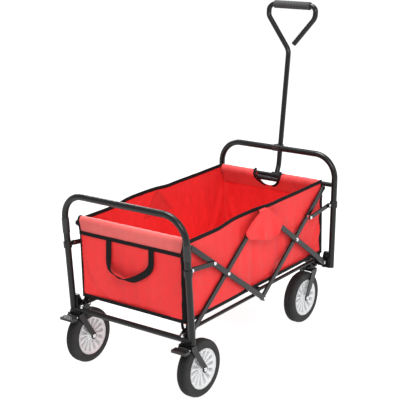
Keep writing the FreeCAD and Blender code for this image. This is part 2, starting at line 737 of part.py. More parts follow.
def pedal():
    """The foot brake: a ribbed slab that turns on the fork's ears."""
    slab = block(-54, -29, -27, 27, 170, 179)
    slab = rounded(slab, 3, lambda edge: edge.CenterOfMass.x < -53)
    tongue = block(-30, -23, -15.6, 15.6, 171.5, 178).fuse(disc(4.5, -15.6, 15.6, -23, 177))
    shape = slab.fuse(tongue)
    for x in (-49, -43, -37):
        shape = shape.cut(block(x, x + 2, -24, 24, 178, 180))
    return shape.cut(disc(2.55, -30, 30, -23, 177)).removeSplitter()


right_pedal = moved(pedal(), -HOOP_X, -size("rear_track"))
solid_feature("right_brake_pedal", right_pedal)
solid_feature("left_brake_pedal", right_pedal.mirror(V(0, 0, 0), ALONG_Y))
pedal_pin = disc(2.5, -22, 22, -HOOP_X - 23, 177)
pedal_pin.translate(V(0, -size("rear_track"), 0))
kingpin = upright_disc(3.5, 203, 212, -HOOP_X, -rear_y)
nut = upright_disc(5.5, 203, 209, -HOOP_X, -rear_y)
top_of_bar = disc(size("low_bar_radius"), -300, 0, -HOOP_X, size("low_bar_height"))
bolt = kingpin.fuse(nut).cut(top_of_bar).removeSplitter()
solid_feature("rear_wheel_bolts", both_sides(Part.makeCompound([pedal_pin, bolt])))

caster_x = HOOP_X - size("caster_inset")
caster = fork(-size("caster_trail"), -18, 16, 179, 185)
stem = upright_disc(8, 185, 187, 0, 0).fuse(upright_disc(5, 185, 201, 0, 0))
nut = upright_disc(8.5, 193.2, 199, 0, 0)
caster = caster.multiFuse([stem, nut]).removeSplitter()
solid_feature("front_right_caster_fork", moved(caster, caster_x, -size("caster_track")))
solid_feature("front_left_caster_fork", moved(caster, caster_x, size("caster_track")))
caster_axle = axle(-size("caster_trail"))
solid_feature("front_right_axle", moved(caster_axle, caster_x, -size("caster_track")))
solid_feature("front_left_axle", moved(caster_axle, caster_x, size("caster_track")))


def caster_socket():
    """The plate under the front bottom bar in which a caster's stem turns."""
    y = -size("caster_track")
    plate = block(caster_x, HOOP_X, y - 20, y + 20, 187.2, 193)
    plate = plate.fuse(upright_disc(20, 187.2, 193, caster_x, y))
    web = block(caster_x + 26, HOOP_X, y - 3, y + 3, 193, 199)
    shape = plate.fuse(web)
    hole = upright_disc(5 + size("pin_play"), 180, 200, caster_x, y)
    bar = disc(size("low_bar_radius"), -size("hoop_y"), 0, HOOP_X, size("low_bar_height"))
    ear_room = block(HOOP_X - 17, HOOP_X + 5, -front_y - 18, -front_y + 13.2, 180, 205)
    return shape.cut(hole).cut(bar).cut(ear_room).removeSplitter()


solid_feature("front_caster_sockets", both_sides(caster_socket()))


# ---------------------------------------------------------------- pull handle

REAR_PIVOT = leaned_point(-HOOP_X, size("cross_height"))
PIVOT = V(-REAR_PIVOT.x, 0, REAR_PIVOT.z)
REAR_RAIL = leaned_point(-HOOP_X, size("hoop_top"))
RAIL = V(-REAR_RAIL.x, 0, REAR_RAIL.z)
LEAN = math.radians(size("handle_lean"))
UP = V(math.sin(LEAN), 0, math.cos(LEAN))
ELBOW = V(PIVOT.x + 16.4, 0, PIVOT.z + 36)
LOOP_LOW = ELBOW + UP * ((size("loop_low") - ELBOW.z) / UP.z)
LOOP_TOP = LOOP_LOW + UP * size("loop_high")
LOOP_RIGHT = LOOP_TOP + V(0, -size("loop_wide"), 0)
LOOP_LEFT = LOOP_TOP + V(0, size("loop_wide"), 0)
RIGHT_SHOULDER = LOOP_RIGHT - UP * size("loop_shoulder")
LEFT_SHOULDER = LOOP_LEFT - UP * size("loop_shoulder")
LOOP_END = LOOP_LOW + (RIGHT_SHOULDER - LOOP_LOW).normalize() * 32


def handle_tube():
    """One bent tube: shaft, elbow, and a loop whose end stops short of the shaft on the right."""
    start = PIVOT + (ELBOW - PIVOT).normalize() * 9
    loop = [LOOP_LOW, LEFT_SHOULDER, LOOP_LEFT, LOOP_RIGHT, RIGHT_SHOULDER, LOOP_END]
    path = bent_path([start, ELBOW] + loop, [45, 45, 30, 21, 21, 30])
    outer = swept(path, round_section(start, ELBOW - start, size("handle_radius")))
    knuckle = disc(13, -17, 17, PIVOT.x, PIVOT.z)
    hole = disc(size("cross_radius") + size("pin_play"), -30, 30, PIVOT.x, PIVOT.z)
    return outer.fuse(knuckle).cut(hole).removeSplitter()


solid_feature("handle_tube", handle_tube())
grip_length = 2 * size("grip_half")
grip_start = LOOP_TOP + V(0, -size("grip_half"), 0)
grip = Part.makeCylinder(size("grip_radius"), grip_length, grip_start, ALONG_Y)
grip = rounded(grip, 3, lambda edge: len(edge.Vertexes) == 1 and edge.Length > 80)
bore = Part.makeCylinder(size("handle_radius"), grip_length + 2, grip_start - V(0, 1, 0), ALONG_Y)
solid_feature("handle_grip", grip.cut(bore))


def tube_end_plug():
    plug = Part.makeCylinder(size("handle_radius"), 3, LOOP_END, LOOP_END - RIGHT_SHOULDER)
    return rounded(plug, 1.2, lambda edge: edge.CenterOfMass.distanceToPoint(LOOP_END) > 2)


solid_feature("handle_end_plug", tube_end_plug())


def handle_clip():
    """The plastic clip on the front hoop's top rail; the handle's tube leaves it outward."""
    rail_z = RAIL.z
    shaft = ELBOW + UP * ((rail_z - ELBOW.z) / UP.z)
    back = shaft.x - size("handle_radius") - 2.6
    body = block(RAIL.x - 13.5, shaft.x + 4, -13, 13, rail_z - 8, rail_z + 10)
    body = rounded(body, 2.5, lambda edge: abs(edge.tangentAt(edge.FirstParameter).z) > 0.9)
    ears = block(RAIL.x + 6, RAIL.x + 16, -18, 18, rail_z + 5, rail_z + 10)
    channel = block(back, shaft.x + 30, -9.4, 9.4, rail_z - 30, rail_z + 30)
    rail = disc(size("hoop_radius"), -40, 40, RAIL.x, rail_z)
    return body.fuse(ears).cut(channel).cut(rail).removeSplitter()


solid_feature("handle_clip", handle_clip())


# ---------------------------------------------------------------- fabric tub

def tub_walls():
    """Four walls and a bottom, open at the top, notched where the end bars pass through."""
    x, y = size("tub_x"), size("tub_y")
    low, top, cloth = size("tub_floor"), size("tub_top"), size("cloth")
    outside = block(-x, x, -y, y, low, top)
    outside = rounded(outside, 6, lambda edge: abs(edge.tangentAt(edge.FirstParameter).z) > 0.9)
    inside = block(-x + cloth, x - cloth, -y + cloth, y - cloth, low + cloth, top + 1)
    inside = rounded(inside, 3.5, lambda edge: abs(edge.tangentAt(edge.FirstParameter).z) > 0.9)
    shell = outside.cut(inside)
    for end in (REAR, FRONT):
        reach = size("top_bar_radius") + 0.6
        notch = block(end * END_X - reach, end * END_X + reach, -300, 300, TOP_Z - reach, top + 5)
        keep_off = block(-x - 1, x + 1, -y + cloth + 4, y - cloth - 4, 0, 900)
        shell = shell.cut(notch.cut(keep_off))
    cut_out = Part.makeCylinder(44, 60, V(x - 30, 4, top + 2), ALONG_X)
    return shell.cut(cut_out).removeSplitter()


solid_feature("tub_walls", tub_walls())

mat_gap = size("cloth") + 0.5
floor_mat = block(
    -size("tub_x") + mat_gap,
    size("tub_x") - mat_gap,
    -size("tub_y") + mat_gap,
    size("tub_y") - mat_gap,
    size("tub_floor") + size("cloth"),
    size("tub_floor") + size("cloth") + 5,
)
solid_feature("floor_mat", rounded(floor_mat, 4, lambda edge: edge.Length < 6))


def apron():
    """The band sewn over the rear wall's top edge."""
    x = size("tub_x")
    return block(-x - 2.2, -x, -size("tub_y") + 4, size("tub_y") - 4, 446, size("tub_top"))


solid_feature("rear_apron", apron())


def carry_strap():
    """A loop of webbing that hangs from the bottom of the apron."""
    x = -size("tub_x") - 1.5
    points = [
        V(x - 2.0, 80, 444),
        V(x - 4.0, 78, 352),
        V(x - 7.0, 0, 334),
        V(x - 4.0, -88, 358),
        V(x - 2.0, -86, 444),
    ]
    path = bent_path(points, [30, 120, 30])
    section = Part.makePolygon(
        [
            V(x - 3.0, 80 - 13, 444),
            V(x - 3.0, 80 + 13, 444),
            V(x - 1.0, 80 + 13, 444),
            V(x - 1.0, 80 - 13, 444),
            V(x - 3.0, 80 - 13, 444),
        ]
    )
    return swept(path, section)


solid_feature("carry_strap", carry_strap())


def pocket():
    """The triangular pocket on the outside of a wall over the scissor's middle top pivot."""
    low = size("brace_layer") + 3.2
    return side_plate([(-88, 412), (88, 412), (9, 506), (-9, 506)], -low - 1.6, -low)


solid_feature("side_pockets", both_sides(pocket()))


# ---------------------------------------------------------------- checks and export

doc.recompute()
for item in doc.Objects:
    if "Invalid" in item.State or "Error" in item.State:
        raise RuntimeError(f"{item.Label} did not compute: {item.State}")
for node, item in exported.items():
    if item.Shape.isNull() or not item.Shape.isValid() or not item.Shape.Solids:
        raise RuntimeError(f"{node} has no valid solid")

os.makedirs("parts", exist_ok=True)
for node, item in exported.items():
    shape = item.Shape.copy()
    shape.translate(V(-size("origin_shift"), 0, 0))
    shape.exportStep(os.path.join("parts", f"{node}.step"))
print(f"{len(exported)} sub-parts written")
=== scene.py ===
"""Looks of the folding wagon: its cloth tub, webbing and seams, and the materials of its frame."""

import json
import math

import bpy
import numpy as np
from mathutils import Matrix, Vector


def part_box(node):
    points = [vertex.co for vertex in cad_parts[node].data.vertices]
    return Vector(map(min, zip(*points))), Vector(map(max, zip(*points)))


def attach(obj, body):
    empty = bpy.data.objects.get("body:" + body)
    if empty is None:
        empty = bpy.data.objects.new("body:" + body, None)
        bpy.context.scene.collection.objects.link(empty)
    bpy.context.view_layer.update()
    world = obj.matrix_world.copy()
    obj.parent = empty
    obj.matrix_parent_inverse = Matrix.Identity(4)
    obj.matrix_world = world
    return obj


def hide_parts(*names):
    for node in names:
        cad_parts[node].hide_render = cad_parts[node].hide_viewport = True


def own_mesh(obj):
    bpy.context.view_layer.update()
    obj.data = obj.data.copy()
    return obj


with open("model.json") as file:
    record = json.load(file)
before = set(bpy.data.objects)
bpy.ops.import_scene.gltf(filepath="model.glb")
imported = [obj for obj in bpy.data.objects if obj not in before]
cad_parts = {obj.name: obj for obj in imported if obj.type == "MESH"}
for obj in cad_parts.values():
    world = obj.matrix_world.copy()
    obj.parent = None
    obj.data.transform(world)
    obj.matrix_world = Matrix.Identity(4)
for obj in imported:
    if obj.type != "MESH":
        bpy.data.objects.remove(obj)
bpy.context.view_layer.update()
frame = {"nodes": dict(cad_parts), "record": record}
random = np.random.default_rng(7)

# Places taken from the frame, in metres.
TUB_LOW, TUB_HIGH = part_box("tub_walls")
MID_X = (TUB_LOW.x + TUB_HIGH.x) / 2
HALF_X = (TUB_HIGH.x - TUB_LOW.x) / 2
HALF_Y = (TUB_HIGH.y - TUB_LOW.y) / 2


def bar_centre(node):
    """The (x, z) of a cross bar's axis."""
    low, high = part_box(node)
    return (low.x + high.x) / 2, (low.z + high.z) / 2


REAR_BAR = bar_centre("rear_top_bar")
FRONT_BAR = bar_centre("front_top_bar")

# Thicknesses, and the half width of the narrow bindings.
CLOTH = 0.0012
TAPE = 0.0009
BINDING = 0.0048


# ---------------------------------------------------------------- shader nodes


def put(tree, socket, value):
    """Links a socket to another, or sets its value."""
    if isinstance(value, bpy.types.NodeSocket):
        tree.links.new(value, socket)
    else:
        socket.default_value = value


def add(tree, kind, inputs=None, **settings):
    """A new shader node of a kind, with its inputs set or linked."""
    made = tree.nodes.new("ShaderNode" + kind)
    for name, value in settings.items():
        setattr(made, name, value)
    for name, value in (inputs or {}).items():
        put(tree, made.inputs[name], value)
    return made


def maths(tree, operation, a, b=0.0, clamp=False):
    """One arithmetic step on sockets or numbers."""
    return add(tree, "Math", {0: a, 1: b}, operation=operation, use_clamp=clamp).outputs[0]


def mix_colour(tree, factor, a, b):
    """Colour a at factor 0, colour b at factor 1."""
    return add(tree, "Mix", {0: factor, 6: a, 7: b}, data_type="RGBA").outputs[2]


def fade(tree, value, low, high, to_low=0.0, to_high=1.0):
    """The value carried from low..high to to_low..to_high with soft ends."""
    made = add(
        tree,
        "MapRange",
        {"Value": value, "From Min": low, "From Max": high, "To Min": to_low, "To Max": to_high},
        interpolation_type="SMOOTHSTEP",
    )
    return made.outputs[0]


def noise(tree, where, scale, detail=3.0, distortion=0.0):
    """Noise about 0.5, with scale in waves per metre of the place it is given."""
    made = add(
        tree,
        "TexNoise",
        {"Vector": where, "Scale": scale, "Detail": detail, "Distortion": distortion},
    )
    return made.outputs[0]


def bump(tree, height, strength, distance, under=None):
    """Small relief, distance metres deep, laid over the relief under it."""
    inputs = {"Height": height, "Strength": strength, "Distance": distance}
    if under is not None:
        inputs["Normal"] = under
    return add(tree, "Bump", inputs).outputs[0]


def rgb(r, g, b):
    return (r, g, b, 1.0)


def material(name):
    """A new material, with its node tree and its main shader."""
    made = bpy.data.materials.new(name)
    made.use_nodes = True
    tree = made.node_tree
    tree.nodes.clear()
    shader = tree.nodes.new("ShaderNodeBsdfPrincipled")
    output = tree.nodes.new("ShaderNodeOutputMaterial")
    tree.links.new(shader.outputs[0], output.inputs[0])
    return made, tree, shader


def object_place(tree):
    """The point in the piece's own metres."""
    return add(tree, "TexCoord").outputs["Object"]


def woven(name, light, dark, thread=0.0011, sheen=0.25, crumple=0.5):
    """Coated plain-weave cloth. Its UV map is in metres, so the threads have their real size."""
    made, tree, shader = material(name)
    place = object_place(tree)
    uv = add(tree, "SeparateXYZ", {0: add(tree, "UVMap").outputs[0]})
    turns = 2 * math.pi / thread
    warp = maths(tree, "SINE", maths(tree, "MULTIPLY", uv.outputs[0], turns))
    weft = maths(tree, "SINE", maths(tree, "MULTIPLY", uv.outputs[1], turns))
    weave = maths(tree, "MULTIPLY", warp, weft)
    broad = noise(tree, place, 5.0, 2.0)
    mottle = noise(tree, place, 42.0, 5.0)
    fibre = noise(tree, place, 900.0, 2.0)
    tone = maths(tree, "ADD", maths(tree, "MULTIPLY", broad, 0.6), maths(tree, "MULTIPLY", mottle, 0.4))
    tone = fade(tree, tone, 0.35, 0.65)
    tone = maths(tree, "ADD", tone, maths(tree, "MULTIPLY", weave, 0.10), clamp=True)
    put(tree, shader.inputs["Base Color"], mix_colour(tree, tone, rgb(*dark), rgb(*light)))
    rough = fade(tree, mottle, 0.3, 0.7, 0.50, 0.64)
    put(tree, shader.inputs["Roughness"], rough)
    shader.inputs["Sheen Weight"].default_value = sheen
    shader.inputs["Sheen Roughness"].default_value = 0.45
    shader.inputs["Specular IOR Level"].default_value = 0.26
    creases = noise(tree, place, 16.0, 3.0, 1.2)
    surface = bump(tree, creases, crumple, 0.004)
    surface = bump(tree, fibre, 0.15, 0.0004, surface)
    put(tree, shader.inputs["Normal"], bump(tree, weave, 0.30, 0.00022, surface))
    return made


def webbing(name, light, dark, rib=0.0016):
    """Ribbed polyester tape: the ribs run across, and fibre noise breaks them up."""
    made, tree, shader = material(name)
    place = object_place(tree)
    uv = add(tree, "SeparateXYZ", {0: add(tree, "UVMap").outputs[0]})
    ribs = maths(tree, "SINE", maths(tree, "MULTIPLY", uv.outputs[0], 2 * math.pi / rib))
    lines = maths(tree, "SINE", maths(tree, "MULTIPLY", uv.outputs[1], 2 * math.pi / 0.0024))
    weave = maths(tree, "MULTIPLY", ribs, maths(tree, "ADD", maths(tree, "MULTIPLY", lines, 0.4), 0.6))
    worn = noise(tree, place, 60.0, 4.0)
    wear = fade(tree, worn, 0.35, 0.7, 0.0, 0.7)
    tone = maths(tree, "ADD", wear, maths(tree, "MULTIPLY", weave, 0.15), clamp=True)
    put(tree, shader.inputs["Base Color"], mix_colour(tree, tone, rgb(*dark), rgb(*light)))
    put(tree, shader.inputs["Roughness"], fade(tree, worn, 0.3, 0.7, 0.68, 0.85))
    shader.inputs["Specular IOR Level"].default_value = 0.15
    surface = bump(tree, noise(tree, place, 1200.0, 2.0), 0.25, 0.0003)
    put(tree, shader.inputs["Normal"], bump(tree, weave, 0.55, 0.0003, surface))
    return made


def powder_coat(name, base, worn):
    """Satin powder coat: fine orange peel, broad haze, and a lighter rub along the edges."""
    made, tree, shader = material(name)
    place = object_place(tree)
    haze = noise(tree, place, 7.0, 3.0)
    grain = noise(tree, place, 620.0, 2.0)
    edge = fade(tree, add(tree, "NewGeometry").outputs["Pointiness"], 0.58, 0.68)
    rub = maths(tree, "MULTIPLY", edge, fade(tree, noise(tree, place, 260.0, 3.0), 0.50, 0.70, 0.0, 0.5))
    dark, light = rgb(*[c * 0.80 for c in base]), rgb(*[c * 1.2 for c in base])
    tone = mix_colour(tree, fade(tree, haze, 0.3, 0.7), dark, light)
    put(tree, shader.inputs["Base Color"], mix_colour(tree, rub, tone, rgb(*worn)))
    put(tree, shader.inputs["Roughness"], fade(tree, haze, 0.3, 0.7, 0.26, 0.38))
    shader.inputs["Specular IOR Level"].default_value = 0.28
    shader.inputs["Coat Weight"].default_value = 0.16
    shader.inputs["Coat Roughness"].default_value = 0.14
    put(tree, shader.inputs["Normal"], bump(tree, grain, 0.16, 0.0005))
    return made


def bright_steel(name):
    """Zinc-plated steel with fine scratches and a cloudy tone, duller where it is paler."""
    made, tree, shader = material(name)
    place = object_place(tree)
    cloud = noise(tree, place, 120.0, 4.0)
    tone = mix_colour(tree, cloud, rgb(0.58, 0.58, 0.60), rgb(0.86, 0.86, 0.88))
    put(tree, shader.inputs["Base Color"], tone)
    shader.inputs["Metallic"].default_value = 1.0
    put(tree, shader.inputs["Roughness"], fade(tree, cloud, 0.3, 0.7, 0.20, 0.38))
    put(tree, shader.inputs["Normal"], bump(tree, noise(tree, place, 1500.0, 2.0), 0.12, 0.0003))
    return made


def moulded(name, base, rough, grain=900.0, relief=0.2, edge_light=1.6):
    """Moulded plastic: fine spark-eroded grain, slight haze, and paler handled edges."""
    made, tree, shader = material(name)
    place = object_place(tree)
    haze = noise(tree, place, 18.0, 3.0)
    edge = fade(tree, add(tree, "NewGeometry").outputs["Pointiness"], 0.52, 0.60)
    tone = mix_colour(tree, haze, rgb(*[c * 0.88 for c in base]), rgb(*[min(c * 1.10, 1) for c in base]))
    pale = rgb(*[min(c * edge_light, 0.95) for c in base])
    put(tree, shader.inputs["Base Color"], mix_colour(tree, maths(tree, "MULTIPLY", edge, 0.5), tone, pale))
    put(tree, shader.inputs["Roughness"], fade(tree, haze, 0.3, 0.7, rough - 0.06, rough + 0.06))
    put(tree, shader.inputs["Normal"], bump(tree, noise(tree, place, grain, 3.0), relief, 0.0004))
    return made


def wheel_place(tree):
    """A wheel's radius and width, each from 0 to 1, out of its own box."""
    parts = add(tree, "SeparateXYZ", {0: add(tree, "TexCoord").outputs["Generated"]})
    across = maths(tree, "SUBTRACT", parts.outputs[0], 0.5)
    up = maths(tree, "SUBTRACT", parts.outputs[2], 0.5)
    squares = maths(tree, "ADD", maths(tree, "MULTIPLY", across, across), maths(tree, "MULTIPLY", up, up))
    radius = maths(tree, "MULTIPLY", maths(tree, "SQRT", squares), 2.0)
    return radius, parts.outputs[1], maths(tree, "ARCTAN2", up, across)


def tyre_rubber(name):
    """Matt rubber with fine tread lines round the tread, painted shade in the tread's furrows, and moulded
    rings on the walls.
    """
    made, tree, shader = material(name)
    place = object_place(tree)
    radius, width, angle = wheel_place(tree)
    tread = fade(tree, radius, 0.93, 0.975)
    lines = maths(tree, "SINE", maths(tree, "MULTIPLY", width, 2 * math.pi * 15))
    sipes = maths(tree, "SINE", maths(tree, "MULTIPLY", angle, 120.0))
    pattern = maths(tree, "ADD", maths(tree, "MULTIPLY", lines, 0.75), maths(tree, "MULTIPLY", sipes, 0.25))
    rings = maths(tree, "SINE", maths(tree, "MULTIPLY", radius, 2 * math.pi * 26))
    rings = maths(tree, "MULTIPLY", rings, maths(tree, "SUBTRACT", 1.0, tread))
    dust = noise(tree, place, 40.0, 5.0)
    tone = mix_colour(tree, fade(tree, dust, 0.35, 0.7), rgb(0.018, 0.018, 0.0185), rgb(0.034, 0.0335, 0.033))
    # Painted shade: the furrows between the tread lines are darkened in the colour.
    groove_painted_shade = maths(tree, "MULTIPLY", fade(tree, lines, 0.2, -0.8), tread)
    put(tree, shader.inputs["Base Color"], mix_colour(tree, groove_painted_shade, tone, rgb(0.008, 0.008, 0.008)))
    put(tree, shader.inputs["Roughness"], fade(tree, dust, 0.3, 0.7, 0.70, 0.88))
    shader.inputs["Specular IOR Level"].default_value = 0.35
    surface = bump(tree, noise(tree, place, 700.0, 3.0), 0.25, 0.0005)
    surface = bump(tree, rings, 0.25, 0.0004, surface)
    relief = maths(tree, "MULTIPLY", pattern, tread)
    put(tree, shader.inputs["Normal"], bump(tree, relief, 0.8, 0.0007, surface))
    return made


def rim_plastic(name):
    """Light grey moulded plastic with faint turned rings, darker in patches toward the tyre."""
    made, tree, shader = material(name)
    place = object_place(tree)
    radius, _, angle = wheel_place(tree)
    haze = noise(tree, place, 22.0, 4.0)
    rays = maths(tree, "SINE", maths(tree, "MULTIPLY", angle, 36.0))
    tone = mix_colour(tree, haze, rgb(0.60, 0.61, 0.62), rgb(0.76, 0.77, 0.78))
    patches = fade(tree, noise(tree, place, 70.0, 4.0), 0.35, 0.65)
    # Darker in patches toward the tyre.
    dark_toward_tyre = maths(tree, "MULTIPLY", fade(tree, radius, 0.90, 1.0), patches)
    tone = mix_colour(tree, maths(tree, "MULTIPLY", dark_toward_tyre, 0.5), tone, rgb(0.30, 0.30, 0.30))
    put(tree, shader.inputs["Base Color"], tone)
    put(tree, shader.inputs["Roughness"], fade(tree, haze, 0.3, 0.7, 0.38, 0.52))
    rings = maths(tree, "SINE", maths(tree, "MULTIPLY", radius, 2 * math.pi * 30))
    surface = bump(tree, noise(tree, place, 800.0, 2.0), 0.12, 0.0004)
    surface = bump(tree, rays, 0.12, 0.0006, surface)
    put(tree, shader.inputs["Normal"], bump(tree, rings, 0.10, 0.0003, surface))
    return made


def foam(name):
    """Foam sleeve: open fine pores over a soft broad variation."""
    made, tree, shader = material(name)
    place = object_place(tree)
    pores = add(tree, "TexVoronoi", {"Vector": place, "Scale": 900.0}).outputs["Distance"]
    haze = noise(tree, place, 30.0, 4.0)
    tone = mix_colour(tree, haze, rgb(0.022, 0.022, 0.023), rgb(0.040, 0.040, 0.042))
    put(tree, shader.inputs["Base Color"], tone)
    put(tree, shader.inputs["Roughness"], fade(tree, haze, 0.3, 0.7, 0.72, 0.88))
    put(tree, shader.inputs["Normal"], bump(tree, pores, 0.5, 0.0004))
    return made


RED = woven("cloth_red", (0.800, 0.031, 0.032), (0.720, 0.024, 0.025), sheen=0.04)
# The rear band is the walls' red cloth. Its paler, pinker colour is a painted sheen: the highlight on the
# rolled band.
RED_BAND_PAINTED_SHEEN = woven("cloth_red_band_painted_sheen", (0.680, 0.105, 0.095), (0.590, 0.080, 0.075), sheen=0.45)
RED_PAD = woven("cloth_red_pad", (0.640, 0.026, 0.026), (0.540, 0.018, 0.018), sheen=0.10)
# The front rolls are the walls' red cloth. Their pinker colour is a painted highlight: the light catching the
# roll over the bar.
RED_ROLL_PAINTED_HIGHLIGHT = woven("cloth_red_roll_painted_highlight", (0.640, 0.058, 0.056), (0.560, 0.046, 0.046), sheen=0.15)
BLACK = webbing("webbing_black", (0.011, 0.0105, 0.011), (0.004, 0.004, 0.0045))
THREAD_BLACK = webbing("thread_black", (0.030, 0.029, 0.030), (0.014, 0.014, 0.015), 0.0006)
THREAD_RED = webbing("thread_red", (0.560, 0.020, 0.020), (0.400, 0.014, 0.014), 0.0006)
FINISHES = {
    "frame_black": powder_coat("powder_coat_black", (0.005, 0.005, 0.0052), (0.050, 0.050, 0.052)),
    "rivet_steel": bright_steel("zinc_steel"),
    "tyre_black": tyre_rubber("tyre_rubber"),
    "rim_grey": rim_plastic("rim_plastic"),
    "grip_rubber": foam("grip_foam"),
    "plastic_black": moulded("plastic_black", (0.012, 0.012, 0.0125), 0.46),
}
for row in frame["record"]["subparts"]:
    finish = FINISHES.get(row["material_slot"])
    if finish:
        mesh = frame["nodes"][row["node"]].data
        mesh.materials.clear()
        mesh.materials.append(finish)


# ---------------------------------------------------------------- mesh building


def unit(v):
    """The vectors at length one."""
    return v / np.maximum(np.linalg.norm(v, axis=-1, keepdims=True), 1e-12)


def ease(x, low, high):
    """0 below low, 1 above high, and a soft step between them."""
    t = np.clip((x - low) / (high - low), 0, 1)
    return t * t * (3 - 2 * t)


def lengths(points):
    """Distance run along a line of points."""
    steps = np.linalg.norm(np.diff(points, axis=0), axis=1)
    return np.concatenate([[0.0], np.cumsum(steps)])


def mesh_object(name, verts, faces, uvs, finish, crease=45.0):
    """A smooth-shaded mesh. uvs holds one (u, v) in metres for each corner of each face."""
    mesh = bpy.data.meshes.new(name)
    mesh.from_pydata(np.asarray(verts).tolist(), [], [tuple(int(i) for i in f) for f in faces])
    layer = mesh.uv_layers.new(name="UVMap")
    layer.data.foreach_set("uv", np.asarray(uvs, np.float32).ravel())
    mesh.materials.append(finish)
    mesh.shade_smooth()
    mesh.set_sharp_from_angle(angle=math.radians(crease))
    mesh.validate()
    mesh.update()
    made = bpy.data.objects.new(name, mesh)
    bpy.context.scene.collection.objects.link(made)
    return made


def patch_normals(grid, closed):
    """Unit normals of a grid of points, from the differences along its two directions."""
    if closed:
        along = np.roll(grid, -1, 0) - np.roll(grid, 1, 0)
    else:
        along = np.gradient(grid, axis=0)
    return unit(np.cross(along, np.gradient(grid, axis=1)))


def grid_faces(nu, nv, closed_u, closed_v=False, offset=0, flip=False):
    """The quads of a grid, with the (column, row) of each corner for its UV."""
    faces, corners = [], []
    for i in range(nu if closed_u else nu - 1):
        for j in range(nv if closed_v else nv - 1):
            ring = [(i, j), (i + 1, j), (i + 1, j + 1), (i, j + 1)]
            if flip:
                ring.reverse()
            faces.append([offset + (a % nu) * nv + b % nv for a, b in ring])
            corners.append(ring)
    return faces, corners


def shell(name, grid, finish, thickness=CLOTH, closed=False):
    """A cloth sheet with a real thickness: both sides of the grid and its rims."""
    nu, nv = grid.shape[:2]
    normals = patch_normals(grid, closed)
    outer = (grid + normals * thickness / 2).reshape(-1, 3)
    inner = (grid - normals * thickness / 2).reshape(-1, 3)
    ring = np.concatenate([grid, grid[:1]]) if closed else grid
    run_u = lengths(ring[:, nv // 2])
    run_v = lengths(grid[nu // 2])
    faces, corners = grid_faces(nu, nv, closed)
    back, back_corners = grid_faces(nu, nv, closed, offset=nu * nv, flip=True)
    rims = []
    for i in range(nu if closed else nu - 1):
        rims.append(((i, 0), (i + 1, 0), True))
        rims.append(((i, nv - 1), (i + 1, nv - 1), False))
    if not closed:
        for j in range(nv - 1):
            rims.append(((0, j), (0, j + 1), False))
            rims.append(((nu - 1, j), (nu - 1, j + 1), True))
    rim_faces, rim_corners = [], []
    for a, b, turn in rims:
        ia, ib = ((p[0] % nu) * nv + p[1] for p in (a, b))
        quad, marks = [ia, ib, ib + nu * nv, ia + nu * nv], [a, b, b, a]
        if turn:
            quad.reverse()
            marks.reverse()
        rim_faces.append(quad)
        rim_corners.append(marks)
    marks = corners + back_corners + rim_corners
    uvs = [(run_u[a], run_v[b]) for ring_marks in marks for a, b in ring_marks]
    return mesh_object(name, np.concatenate([outer, inner]), faces + back + rim_faces, uvs, finish, 60.0)


def sweep(name, path, across, normal, section, finish, closed=False):
    """A closed section carried along a path. A section point is (along across, along normal)."""
    section = np.asarray(section, float)
    nu, nv = len(path), len(section)
    verts = path[:, None] + section[None, :, :1] * across[:, None] + section[None, :, 1:] * normal[:, None]
    run = lengths(np.concatenate([path, path[:1]]) if closed else path)
    round_it = lengths(np.concatenate([section, section[:1]]))
    faces, corners = grid_faces(nu, nv, closed, closed_v=True)
    if not closed:
        faces.append(list(range(nv)))
        corners.append([(0, j) for j in range(nv)])
        faces.append([(nu - 1) * nv + j for j in reversed(range(nv))])
        corners.append([(nu - 1, j) for j in reversed(range(nv))])
    uvs = [(run[a], round_it[b]) for marks in corners for a, b in marks]
    return mesh_object(name, verts.reshape(-1, 3), faces, uvs, finish)


def flat_section(half, thick, base=0.0):
    """A flat band with softened edges, lying on base."""
    soft = min(half * 0.25, 0.0010)
    return [
        (-half, base),
        (-half, base + thick * 0.55),
        (-half + soft, base + thick),
        (0.0, base + thick * 1.10),
        (half - soft, base + thick),
        (half, base + thick * 0.55),
        (half, base),
    ]


def folded_section(width, inside, thick):
    """A tape folded over an edge: down one side, over the top and down the other."""
    out = inside + thick
    lip = thick + 0.0005
    return [
        (width, out),
        (0.0010, out),
        (-lip, inside * 0.7),
        (-lip, -inside * 0.7),
        (0.0010, -out),
        (width, -out),
        (width, -inside),
        (0.0, -inside),
        (0.0, inside),
        (width, inside),
    ]


def resample(points, step):
    """The line again with points a step apart."""
    run = lengths(points)
    at = np.linspace(0, run[-1], max(2, int(round(run[-1] / step)) + 1))
    return np.stack([np.interp(at, run, points[:, k]) for k in range(3)], axis=1)


def resample_with(points, vectors, step):
    """resample(), with unit vectors that belong to the points carried along."""
    run = lengths(points)
    at = np.linspace(0, run[-1], max(2, int(round(run[-1] / step)) + 1))
    line = np.stack([np.interp(at, run, points[:, k]) for k in range(3)], axis=1)
    carried = np.stack([np.interp(at, run, vectors[:, k]) for k in range(3)], axis=1)
    return line, unit(carried)


def curve_through(points, step=0.004):
    """A smooth line through the points (Catmull-Rom)."""
    p = np.asarray(points, float)
    p = np.concatenate([[2 * p[0] - p[1]], p, [2 * p[-1] - p[-2]]])
    line = []
    for a, b, c, d in zip(p[:-3], p[1:-2], p[2:-1], p[3:]):
        for t in np.linspace(0, 1, 24, endpoint=False):
            square, cube = 2 * a - 5 * b + 4 * c - d, 3 * b - a - 3 * c + d
            line.append(0.5 * (2 * b + (c - a) * t + square * t**2 + cube * t**3))
    line.append(p[-2])
    return resample(np.array(line), step)


STITCHES = {"black": [], "red": []}
# Height of a stitch line over the middle of the cloth it is sewn through.
ON_CLOTH = 0.0007


def stitch(colour, points, normals, long=0.0030, gap=0.0016):
    """Lists one row of stitches along a line, standing on the cloth."""
    line, up = resample_with(points, normals, long + gap)
    for a, b, n in zip(line[:-1], line[1:], up[:-1]):
        along = b - a
        reach = np.linalg.norm(along)
        if reach > 1e-6:
            STITCHES[colour].append((a + along * 0.5, along / reach, n, long / 2))


